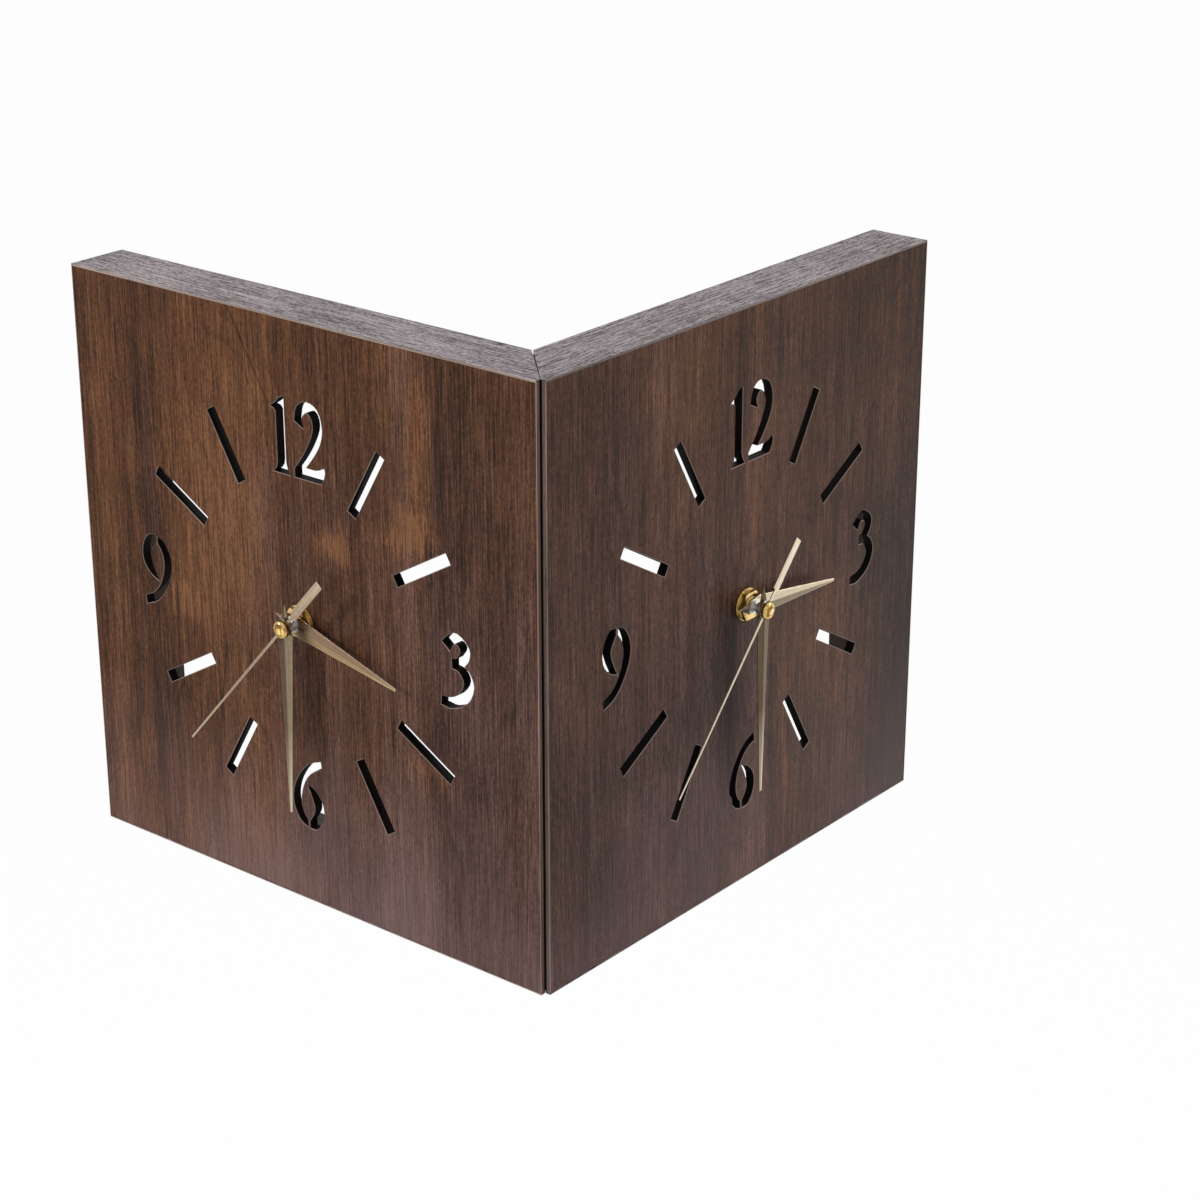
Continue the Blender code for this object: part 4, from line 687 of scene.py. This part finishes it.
# Dark and light tones of each half's trim: strip, apex edges, their front lines, and lips
# The strip's light grey tone is partly painted sheen, for white light glancing off its top
FOIL_WITH_PAINTED_SHEEN = ((0.034, 0.025, 0.025), (0.490, 0.420, 0.440))
TRIM_TONES = {
    "left": {
        "strip": FOIL_WITH_PAINTED_SHEEN,
        "apex": ((0.080, 0.055, 0.046), (0.272, 0.187, 0.152)),
        "line": ((0.240, 0.155, 0.130), (0.640, 0.440, 0.380)),
        "lip": ((0.180, 0.110, 0.080), (0.420, 0.300, 0.240)),
        "top_lip": ((0.280, 0.210, 0.170), (0.620, 0.500, 0.420)),
    },
    "right": {
        "strip": FOIL_WITH_PAINTED_SHEEN,
        "apex": ((0.095, 0.066, 0.062), (0.312, 0.220, 0.198)),
        "line": ((0.190, 0.135, 0.110), (0.520, 0.390, 0.320)),
        "lip": ((0.050, 0.028, 0.020), (0.200, 0.130, 0.100)),
        "top_lip": ((0.100, 0.072, 0.066), (0.260, 0.200, 0.190)),
    },
}
TRIM_LOOKS = {
    "strip": {"roughness": 0.66, "relief": 0.00004, "coarse": 700.0, "fine": 1500.0,
              "length": 110.0, "contrast": 1.5, "speckle": 1.5, "specular": 0.12},
    "apex": {"roughness": 0.46, "relief": 0.00004, "coarse": 300.0, "specular": 0.1},
    "line": {"roughness": 0.50, "relief": 0.00003, "coarse": 300.0, "specular": 0.2},
    "lip": {"roughness": 0.55, "relief": 0.00003},
}
TRIM_LOOKS["top_lip"] = TRIM_LOOKS["lip"]
BATTEN_TONES = ((0.040, 0.028, 0.021), (0.120, 0.088, 0.066))
# The axis that each half runs along
ALONG = {"left": 1, "right": 0}
UPRIGHT = 2
FINISHES = {
    "upright_strip": grained("upright_strip", UPRIGHT, (0.040, 0.024, 0.018),
                             (0.170, 0.110, 0.088), 0.46, 0.00004, specular=0.2),
    "cut_wall": speckled("cut_wall", (0.0060, 0.0042, 0.0040), 0.45, 0.70, 1400.0, 0.00006,
                         specular=0.04),
    "circuit_green": speckled("circuit_green", (0.018, 0.120, 0.045), 0.30, 0.38, 1300.0,
                              0.00002, coat=0.4),
    "wound_copper": wound_copper(),
}
# Colour, variation, roughness, grain and relief
for plain, look in {
    # The cut edge's light tone is the cut laminate's edge and partly a painted highlight along it
    "cut_edge_and_highlight": ((0.210, 0.140, 0.115), 0.35, 0.50, 900.0, 0.00003),
    "board_back": ((0.115, 0.080, 0.055), 0.30, 0.80, 1800.0, 0.00005),
    "black_plastic": ((0.016, 0.016, 0.018), 0.25, 0.50, 2600.0, 0.00003),
    "gear_plastic": ((0.62, 0.60, 0.54), 0.08, 0.42, 1500.0, 0.00001),
}.items():
    FINISHES[plain] = speckled(plain, *look)
# Colour, roughness and relief
for metal, look in {
    "aluminium": ((0.52, 0.51, 0.53), 0.36, 0.00001),
    "zinc_steel": ((0.52, 0.53, 0.55), 0.38, 0.00002),
    "yellow_zinc": ((0.60, 0.47, 0.22), 0.34, 0.00001),
    "spring_brass": ((0.62, 0.46, 0.20), 0.30, 0.00001),
    "brass": ((0.56, 0.40, 0.155), 0.26, 0.000006),
}.items():
    FINISHES[metal] = brushed(metal, *look)
for axis, letter in enumerate("xyz"):
    FINISHES["batten_" + letter] = grained("batten_" + letter, axis, *BATTEN_TONES, 0.72,
                                           0.00012, coarse=160.0, fine=700.0, specular=0.3)
# Painted light and shade on the hands: a lit and a shaded tone of the same metal, before and after the fold
# clockwise; they differ from half to half as the light falls on each
HAND_LIT_AND_SHADED_TONES = {
    "left": {
        "hour": ((0.190, 0.125, 0.083), (0.320, 0.226, 0.120)),
        "minute": ((0.145, 0.114, 0.072), (0.099, 0.062, 0.034)),
        "second": ((0.340, 0.257, 0.182),) * 2,
    },
    "right": {
        "hour": ((0.440, 0.370, 0.263), (0.145, 0.112, 0.072)),
        "minute": ((0.062, 0.032, 0.008), (0.098, 0.075, 0.043)),
        "second": ((0.510, 0.428, 0.323),) * 2,
    },
}
for half in SIDES:
    FINISHES[half + "_walnut"] = walnut(half)
    FINISHES[half + "_cap_brass"] = cap_brass(half)
    FINISHES[half + "_battery"] = battery_jacket(half)
    for trim, tones in TRIM_TONES[half].items():
        grain = UPRIGHT if trim in ("apex", "line") else ALONG[half]
        # Painted shade on the apex edges where they run into the gap
        painted_shade_end = (1 - ALONG[half], *LAND_PAINTED_SHADE) if trim == "apex" else None
        FINISHES[f"{half}_{trim}"] = grained(f"{half}_{trim}", grain, *tones,
                                             painted_shade_end=painted_shade_end, **TRIM_LOOKS[trim])
    for hand, tones in HAND_LIT_AND_SHADED_TONES[half].items():
        FINISHES[f"{half}_{hand}_metal"] = hand_metal(half, hand, tones)


# Meshes

def smooth(mesh, below):
    """Shades a mesh smooth where its faces meet at less than an angle."""
    mesh.shade_smooth()
    mesh.set_sharp_from_angle(angle=math.radians(below))


def coated(piece, finish):
    """Gives a piece one finish in place of any that it has."""
    piece.data.materials.clear()
    piece.data.materials.append(FINISHES[finish])
    return piece


def shown(shape, name, smooth_below=None):
    """An object that holds a finished mesh, flat or smooth below an angle."""
    bmesh.ops.recalc_face_normals(shape, faces=shape.faces)
    mesh = bpy.data.meshes.new(name)
    shape.to_mesh(mesh)
    shape.free()
    carried = mesh.attributes.get("custom_normal")
    if carried:
        mesh.attributes.remove(carried)
    made = bpy.data.objects.new(name, mesh)
    bpy.context.scene.collection.objects.link(made)
    if smooth_below:
        smooth(mesh, smooth_below)
    return made


def stands_for(piece, node):
    """Makes a piece ride with the body of the node it replaces, and hides that node."""
    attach(piece, BODY_OF[node])
    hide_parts(node)
    return piece


def dressed(shape, node, side, choose, finishes, smooth_below=None):
    """A finer node, each face in the finish that a choice by its place and direction names."""
    piece = shown(shape, node + "_shown", smooth_below)
    for name in finishes:
        piece.data.materials.append(FINISHES[name])
    for face in piece.data.polygons:
        centre = TO_DIAL[side] @ face.center
        normal = TO_DIAL[side].to_3x3() @ face.normal
        face.material_index = finishes.index(choose(centre, normal))
    return stands_for(piece, node)


def whole_faces(node):
    """The node's mesh with its corners joined and each flat face in one."""
    shape = bmesh.new()
    shape.from_mesh(frame["nodes"][node].data)
    bmesh.ops.remove_doubles(shape, verts=shape.verts, dist=MERGE_DISTANCE)
    bmesh.ops.dissolve_limit(shape, angle_limit=math.radians(FLAT_WITHIN),
                             verts=shape.verts, edges=shape.edges)
    return shape


def sharp_edges(shape, above=EDGE_ABOVE):
    """The edges where two faces meet at more than an angle."""
    return [edge for edge in shape.edges
            if len(edge.link_faces) == 2 and edge.calc_face_angle(0) > math.radians(above)]


def rounded(shape, edges, width, segments=2):
    """Rounds edges by a width."""
    bmesh.ops.bevel(shape, geom=edges, offset=width, offset_type="OFFSET", segments=segments,
                    profile=0.6, affect="EDGES", clamp_overlap=False)
    return shape


def refined(node, width, finish, smooth_below=FLAT_BELOW):
    """A finer copy of a node with its edges broken and one finish."""
    shape = whole_faces(node)
    if width:
        rounded(shape, sharp_edges(shape), width, segments=1)
    return stands_for(coated(shown(shape, node + "_shown", smooth_below), finish), node)


def front_board(side):
    """The dial board: laminate in front, a light line round each cut, partly a painted highlight, dark cut walls.
    """
    node = side + "_front_board"
    shape = whole_faces(node)
    front = [edge for edge in sharp_edges(shape)
             if all(abs((TO_DIAL[side] @ end.co).z) < MERGE_DISTANCE for end in edge.verts)]
    rounded(shape, front, CUT_CHAMFER, segments=1)

    def choose(centre, normal):
        if normal.z > PLANAR:
            return side + "_walnut"
        if normal.z < -PLANAR:
            return "board_back"
        towards_apex = centre.x * TO_APEX[side]
        at_apex = towards_apex > APEX_EDGE - PERIMETER_STRIP
        if abs(normal.z) < WALL:
            return side + "_apex" if at_apex else "cut_wall"
        if at_apex and normal.z > 0:
            return side + "_line"
        if centre.y > TOP_LIP and normal.z > 0:
            return side + "_top_lip"
        on_rim = (abs(centre.y) > HALF_SIDE - 2 * PERIMETER_STRIP
                  or -towards_apex > OUTER_EDGE - PERIMETER_STRIP)
        if normal.z < 0 or on_rim:
            return "cut_wall"
        return "cut_edge_and_highlight"

    return dressed(shape, node, side, choose,
                   [side + "_walnut", "board_back", side + "_apex", side + "_line",
                    side + "_top_lip", "cut_wall", "cut_edge_and_highlight"])


def edge_band(side):
    """The edge strip, its grain along the top and bottom and upright on the end."""
    node = side + "_edge_band"
    shape = whole_faces(node)
    rounded(shape, sharp_edges(shape), BAND_EDGE)

    def choose(centre, normal):
        if normal.z > LIP:
            return side + ("_top_lip" if centre.y > TOP_LIP else "_lip")
        if abs(normal.y) > LEVEL:
            return side + "_strip"
        return "upright_strip"

    return dressed(shape, node, side, choose,
                   [side + "_lip", side + "_top_lip", side + "_strip", "upright_strip"])


def battens(side):
    """The four battens behind a board."""
    lengthways = "batten_" + "xyz"[ALONG[side]]
    for name, finish in (("top_rail", lengthways), ("bottom_rail", lengthways),
                         ("outer_rail", "batten_z"), ("apex_rail", "batten_z")):
        refined(f"{side}_{name}", BATTEN_EDGE, finish, smooth_below=None)


def circle(radius, count):
    """Points evenly spread round the z axis."""
    turns = [2 * math.pi * step / count for step in range(count)]
    return [(radius * math.cos(turn), radius * math.sin(turn)) for turn in turns]


def turned(profile, facets=ROUND_FACETS):
    """A round shape about the z axis from a closed profile of (radius, z) points."""
    shape = bmesh.new()
    rings = []
    for radius, z in profile:
        if radius == 0:
            rings.append([shape.verts.new((0, 0, z))] * facets)
        else:
            rings.append([shape.verts.new((x, y, z)) for x, y in circle(radius, facets)])
    for ring, following in zip(rings, rings[1:] + rings[:1]):
        for here in range(facets):
            there = (here + 1) % facets
            corners = (ring[here], ring[there], following[there], following[here])
            distinct = list(dict.fromkeys(corners))
            if len(distinct) > 2:
                shape.faces.new(distinct)
    return shape


def prism(outline, low, high):
    """A straight shape over an outline of (x, y) points."""
    shape = bmesh.new()
    bottom = [shape.verts.new((x, y, low)) for x, y in outline]
    top = [shape.verts.new((x, y, high)) for x, y in outline]
    shape.faces.new(bottom)
    shape.faces.new(top)
    for here in range(len(outline)):
        there = (here + 1) % len(outline)
        shape.faces.new((bottom[here], bottom[there], top[there], top[here]))
    return shape


def combine(target, tool, operation):
    """Joins, cuts or intersects an object with a tool shape, which is used up."""
    tool = shown(tool, "tool")
    step = target.modifiers.new(operation, "BOOLEAN")
    step.operation = operation
    step.solver = "EXACT"
    step.object = tool
    seen = target.evaluated_get(bpy.context.evaluated_depsgraph_get())
    result = bpy.data.meshes.new_from_object(seen)
    target.modifiers.clear()
    target.data = result
    bpy.data.objects.remove(tool)
    return target


def set_on_dial(piece, side, angle=0.0, smooth_below=ROUND_BELOW):
    """Moves a piece's mesh to its dial, turned clockwise by an angle, and smooths it."""
    turn = Matrix.Rotation(-math.radians(angle), 4, "Z")
    piece.data.transform(DIALS[side] @ turn)
    smooth(piece.data, smooth_below)
    return piece


def fitted(piece, side, name, finish, angle=0.0, smooth_below=ROUND_BELOW):
    """Finishes a piece and sets it on its dial, in place of a node."""
    set_on_dial(coated(piece, finish), side, angle, smooth_below)
    return stands_for(piece, f"{side}_{name}")


def bored(piece, radius):
    """Cuts a round hole along the axis."""
    drill = turned(((0, BORE_REACH), (radius, BORE_REACH), (radius, -BORE_REACH),
                    (0, -BORE_REACH)))
    return combine(piece, drill, "DIFFERENCE")


def threaded_bush(side):
    """The brass bush, its thread showing above the nut."""
    bore = HOUR_PIPE_RADIUS + BORE_GAP
    profile = [(bore, BUSH_TOP), (BUSH_RADIUS - THREAD_DEPTH, BUSH_TOP)]
    z = BUSH_TOP - THREAD_PITCH / 4
    while z > BUSH_FLANGE_TOP + THREAD_PITCH:
        profile += [(BUSH_RADIUS, z), (BUSH_RADIUS - THREAD_DEPTH, z - THREAD_PITCH / 2)]
        z -= THREAD_PITCH
    profile += [
        (BUSH_RADIUS - THREAD_DEPTH, BUSH_FLANGE_TOP), (BUSH_FLANGE_RADIUS, BUSH_FLANGE_TOP),
        (BUSH_FLANGE_RADIUS, BUSH_FLANGE_BACK), (bore, BUSH_FLANGE_BACK),
    ]
    piece = shown(turned(profile), side + "_bush_shown")
    return fitted(piece, side, "threaded_bush", "brass", smooth_below=THREAD_BELOW)


def brass_washer(side):
    """The washer with its pressed, slightly rounded rim."""
    hole = BUSH_RADIUS + BORE_GAP
    edge = (WASHER_TOP - WASHER_BOTTOM) / 3
    profile = (
        (hole, WASHER_TOP), (WASHER_RADIUS - edge, WASHER_TOP),
        (WASHER_RADIUS - edge / 3, WASHER_TOP - edge / 3), (WASHER_RADIUS, WASHER_TOP - edge),
        (WASHER_RADIUS, WASHER_BOTTOM), (hole, WASHER_BOTTOM),
    )
    piece = shown(turned(profile), side + "_washer_shown")
    return fitted(piece, side, "brass_washer", "brass")


def hex_nut(side):
    """The nut, its corners turned down to round chamfers."""
    flat = NUT_ACROSS_FLATS / 2
    corner_radius = flat / math.cos(math.pi / 6)
    shape = prism(circle(corner_radius, 6), NUT_BOTTOM, NUT_TOP)
    upright = [edge for edge in shape.edges
               if abs(edge.verts[0].co.z - edge.verts[1].co.z) > MERGE_DISTANCE]
    piece = shown(rounded(shape, upright, NUT_EDGE, segments=3), side + "_nut_shown")
    rounding = turned((
        (0, NUT_TOP + NUT_CHAMFER), (flat - NUT_CHAMFER, NUT_TOP + NUT_CHAMFER),
        (corner_radius + NUT_CHAMFER, NUT_TOP - NUT_CHAMFER),
        (corner_radius + NUT_CHAMFER, NUT_BOTTOM - NUT_CHAMFER), (0, NUT_BOTTOM - NUT_CHAMFER),
    ))
    combine(piece, rounding, "INTERSECT")
    bored(piece, BUSH_RADIUS + BORE_GAP)
    return fitted(piece, side, "hex_nut", "brass", smooth_below=FLAT_BELOW)


def folded_hand(length, tail, half_width, plane):
    """A kite-shaped sheet folded along its middle, pointing to twelve."""
    rim = (
        (0, -tail), (half_width, HAND_WIDEST_AT), (HAND_TIP_HALF_WIDTH, length),
        (-HAND_TIP_HALF_WIDTH, length), (-half_width, HAND_WIDEST_AT),
    )
    fold = ((0, HAND_WIDEST_AT, HAND_RIDGE), (0, length, HAND_RIDGE / 4))
    shape = bmesh.new()
    layers = []
    for z in (plane - HAND_SHEET / 2, plane + HAND_SHEET / 2):
        edge = [shape.verts.new((x, y, z)) for x, y in rim]
        middle, end = (shape.verts.new((x, y, z + rise)) for x, y, rise in fold)
        rear, right, right_tip, left_tip, left = edge
        shape.faces.new((rear, right, middle))
        shape.faces.new((right, right_tip, end, middle))
        shape.faces.new((end, left_tip, left, middle))
        shape.faces.new((left, rear, middle))
        layers.append([rear, right, right_tip, end, left_tip, left])
    bottom, top = layers
    for here in range(len(bottom)):
        there = (here + 1) % len(bottom)
        shape.faces.new((bottom[here], bottom[there], top[there], top[here]))
    bmesh.ops.recalc_face_normals(shape, faces=shape.faces)
    rounded(shape, sharp_edges(shape, HAND_EDGE_ABOVE), HAND_EDGE)
    return shape


def pointed_hand(side, name):
    """The hour or minute hand with the collet that grips its pipe."""
    length, tail, half_width, plane, pipe, drop = FOLDED_HANDS[name]
    piece = shown(folded_hand(length, tail, half_width, plane), f"{side}_{name}_hand_shown")
    bore = pipe + BORE_GAP
    bottom = plane - HAND_SHEET / 2 - drop
    top = plane + HAND_SHEET / 2
    collet = turned(((0, top), (bore + COLLET_WALL, top), (bore + COLLET_WALL, bottom),
                     (0, bottom)))
    combine(piece, collet, "UNION")
    bored(piece, bore)
    return fitted(piece, side, name + "_hand", f"{side}_{name}_metal", HAND_ANGLES[side][name],
                  HAND_BELOW)


def second_hand(side):
    """The slim second hand with its counterweight, hub and tube."""
    low = SECOND_PLANE - SECOND_THICKNESS / 2
    high = SECOND_PLANE + SECOND_THICKNESS / 2
    neck, end = COUNTERWEIGHT
    left_rim = (
        (-SECOND_TIP_HALF_WIDTH, SECOND_LENGTH), (-SECOND_HALF_WIDTH, 0),
        (-SECOND_HALF_WIDTH, -neck), (-COUNTERWEIGHT_HALF_WIDTH, -neck),
        (-COUNTERWEIGHT_HALF_WIDTH, -end),
    )
    right_rim = [(-x, y) for x, y in reversed(left_rim)]
    shape = prism((right_rim[-1], *left_rim, *right_rim[:-1]), low, high)
    bmesh.ops.recalc_face_normals(shape, faces=shape.faces)
    rounded(shape, sharp_edges(shape), HAND_EDGE)
    piece = shown(shape, side + "_second_hand_shown")
    top_radius, radius = SECOND_HUB_RADII
    hub = turned(((0, high), (top_radius, high), (radius, high - HAND_EDGE), (radius, low),
                  (0, low)), SMALL_FACETS)
    combine(piece, hub, "UNION")
    bottom = low - SECOND_TUBE_DROP
    tube = turned(((0, SECOND_PLANE), (SECOND_TUBE_RADIUS, SECOND_PLANE),
                   (SECOND_TUBE_RADIUS, bottom), (0, bottom)), TUBE_FACETS)
    combine(piece, tube, "UNION")
    bored(piece, SHAFT_RADIUS + BORE_GAP)
    return fitted(piece, side, "second_hand", side + "_second_metal",
                  HAND_ANGLES[side]["second"])


def second_hand_cap(side):
    """The domed brass cap with its rim."""
    dome = CAP_TOP - CAP_BOTTOM - CAP_RIM
    profile = [(0, CAP_TOP)]
    for step in range(1, DOME_RINGS + 1):
        angle = math.pi / 2 * step / DOME_RINGS
        profile.append((CAP_RADIUS * math.sin(angle), CAP_TOP - dome * (1 - math.cos(angle))))
    roof = (CAP_TOP + CAP_BOTTOM) / 2 + CAP_ROOF_RISE
    bore = SHAFT_RADIUS + BORE_GAP
    profile += [
        (CAP_RADIUS, CAP_BOTTOM + CAP_EDGE), (CAP_RADIUS - CAP_EDGE, CAP_BOTTOM),
        (bore, CAP_BOTTOM), (bore, roof), (0, roof),
    ]
    piece = shown(turned(profile), side + "_cap_shown")
    return fitted(piece, side, "second_hand_cap", side + "_cap_brass", smooth_below=DOME_BELOW)


def motor_coil(side):
    """The coil: copper turns between black cheeks on a steel stator plate."""
    node = side + "_drive_coil"
    corners = [TO_DIAL[side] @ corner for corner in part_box(node)]
    left_x, right_x = sorted(corner.x for corner in corners)
    back_z = min(corner.z for corner in corners)
    shape = whole_faces(node)

    def choose(centre, normal):
        if centre.z < back_z + STATOR_THICKNESS:
            return "zinc_steel"
        if left_x + COIL_CHEEK < centre.x < right_x - COIL_CHEEK:
            return "wound_copper"
        return "black_plastic"

    return dressed(shape, node, side, choose, ["zinc_steel", "wound_copper", "black_plastic"],
                   ROUND_BELOW)


def bar(x, y, half_x, half_y):
    """The outline of a straight bar on the dial."""
    return ((x - half_x, y - half_y), (x + half_x, y - half_y), (x + half_x, y + half_y),
            (x - half_x, y + half_y))


def movement_cover(side):
    """The back cover: a raised ring round the knob, a sunk panel and the battery's signs."""
    node = side + "_movement_cover"
    piece = refined(node, PLASTIC_EDGE, "black_plastic")
    piece.data.transform(TO_DIAL[side])
    knob = TO_DIAL[side] @ Vector(JOINTS[side + "_setting_turn"]["pos_m"])
    base = COVER_BACK + COVER_RELIEF
    raised = COVER_BACK - COVER_RELIEF
    inner, outer = KNOB_RING
    ring = turned(((outer, base), (outer, raised), (inner, raised), (inner, base)),
                  SMALL_FACETS)
    bmesh.ops.translate(ring, verts=ring.verts, vec=(knob.x, knob.y, 0))
    combine(piece, ring, "UNION")
    level, upright = (SIGN_ARM, SIGN_HALF_WIDTH), (SIGN_HALF_WIDTH, SIGN_ARM)
    for x, stroke in ((-SIGN_X, level), (SIGN_X, level), (SIGN_X, upright)):
        combine(piece, prism(bar(x, SIGN_Y, *stroke), raised, base), "UNION")
    combine(piece, prism(bar(*COVER_PANEL), COVER_BACK - BEYOND, base), "DIFFERENCE")
    set_on_dial(piece, side, smooth_below=FLAT_BELOW)
    return coated(piece, "black_plastic")


def cross_screw(node, side):
    """A countersunk screw with a cross recess in its head."""
    piece = refined(node, METAL_EDGE, "yellow_zinc")
    piece.data.transform(TO_DIAL[side])
    spots = [corner.co for corner in piece.data.vertices]
    middle = sum(spots, Vector()) / len(spots)
    head = min(spot.z for spot in spots)
    for halves in ((RECESS_ARM, RECESS_HALF_WIDTH), (RECESS_HALF_WIDTH, RECESS_ARM)):
        slot = prism(bar(middle.x, middle.y, *halves), head - BEYOND, head + RECESS_DEPTH)
        combine(piece, slot, "DIFFERENCE")
    set_on_dial(piece, side, smooth_below=FLAT_BELOW)
    return coated(piece, "yellow_zinc")


def circuit_board(side):
    """The green board with its two bright contact strips."""
    node = side + "_circuit_board"
    shape = whole_faces(node)
    rounded(shape, sharp_edges(shape), METAL_EDGE)

    def choose(centre, normal):
        return "spring_brass" if abs(centre.x) > CONTACT_FROM else "circuit_green"

    return dressed(shape, node, side, choose, ["spring_brass", "circuit_green"])


def movement(side):
    """The case, cover, battery and knob of one movement."""
    refined(side + "_movement_case", PLASTIC_EDGE, "black_plastic")
    movement_cover(side)
    refined(side + "_setting_knob", PLASTIC_EDGE / 2, "black_plastic")
    refined(side + "_battery", PLASTIC_EDGE, side + "_battery")
    motor_coil(side)
    circuit_board(side)


def inner_wheels(side):
    """Finishes of the wheels inside a movement, whose shapes stay as they are."""
    for name in ("intermediate_wheel", "third_wheel", "centre_wheel", "motion_wheel"):
        frame["nodes"][f"{side}_{name}"].data.materials[0] = FINISHES["gear_plastic"]
    frame["nodes"][side + "_rotor"].data.materials[0] = FINISHES["zinc_steel"]
    for name in ("seconds_wheel", "minute_pipe", "hour_wheel"):
        refined(f"{side}_{name}", 0, "aluminium")


def corner_hardware():
    """The two corner brackets and their four screws."""
    for level in ("upper", "lower"):
        refined(level + "_corner_bracket", PLATE_EDGE, "zinc_steel")
        for side in SIDES:
            cross_screw(f"{level}_{side}_screw", side)


# Stage, light and camera

def seen_directly(tree):
    """1 for what the camera sees, also in a mirror or through glass, and 0 for light."""
    path = add(tree, "LightPath").outputs
    seen = calc(tree, "MAXIMUM", path["Is Camera Ray"], path["Is Glossy Ray"])
    return calc(tree, "MAXIMUM", seen, path["Is Transmission Ray"])


def build_world():
    """Soft white light all round, seen as plain white."""
    world = bpy.data.worlds.new("studio")
    world.use_nodes = True
    tree = world.node_tree
    tree.nodes.clear()
    light = add(tree, "Background", {"Color": WHITE, "Strength": WORLD_STRENGTH})
    backdrop = add(tree, "Background", {"Color": WHITE, "Strength": 1.0})
    mixed = add(tree, "MixShader", {0: seen_directly(tree), 1: light.outputs[0],
                                    2: backdrop.outputs[0]})
    add(tree, "OutputWorld", {"Surface": mixed.outputs[0]})
    bpy.context.scene.world = world


def build_floor():
    """A white floor far below the hanging clock, which keeps a faint shadow."""
    shape = bmesh.new()
    bmesh.ops.create_grid(shape, x_segments=1, y_segments=1, size=FLOOR_SIDE / 2)
    floor = shown(shape, "floor")
    floor.data.transform(Matrix.Translation((0, 0, FLOOR_HEIGHT)))
    material, tree = new_tree("floor")
    shader = tree.nodes["Principled BSDF"]
    shader.inputs["Base Color"].default_value = (0.85, 0.85, 0.85, 1)
    shader.inputs["Roughness"].default_value = 1.0
    white = add(tree, "Emission", {"Color": WHITE, "Strength": 1.0})
    share = times(tree, seen_directly(tree), 1 - FLOOR_SHADOW_SHARE)
    mixed = add(tree, "MixShader", {0: share, 1: shader.outputs[0], 2: white.outputs[0]})
    tree.links.new(mixed.outputs[0], tree.nodes["Material Output"].inputs["Surface"])
    floor.data.materials.append(material)


def aimed(made, place_at, target):
    """Puts a lamp or camera in its place, looking at a target."""
    made.location = place_at
    made.rotation_euler = (Vector(target) - Vector(place_at)).to_track_quat("-Z", "Y").to_euler()
    bpy.context.scene.collection.objects.link(made)
    return made


def build_lamps():
    """Soft square lamps round the clock."""
    for name, place_at, size, power in LAMPS:
        lamp = bpy.data.lights.new(name, "AREA")
        lamp.shape = "SQUARE"
        lamp.size = size
        lamp.energy = power
        aimed(bpy.data.objects.new(name, lamp), place_at, CAMERA_AIM)


def build_camera():
    """The camera at the photograph's angle."""
    lens = bpy.data.cameras.new("camera")
    lens.lens = CAMERA_LENS
    lens.sensor_width = 36.0
    lens.clip_end = 100.0
    made = aimed(bpy.data.objects.new("camera", lens), CAMERA_PLACE, CAMERA_AIM)
    bpy.context.scene.camera = made


for half in SIDES:
    for build in (front_board, edge_band, battens, movement, inner_wheels, threaded_bush,
                  brass_washer, hex_nut):
        build(half)
    for hand in FOLDED_HANDS:
        pointed_hand(half, hand)
    second_hand(half)
    second_hand_cap(half)
corner_hardware()
build_world()
build_floor()
build_lamps()
build_camera()
bpy.context.scene.view_settings.view_transform = "Standard"
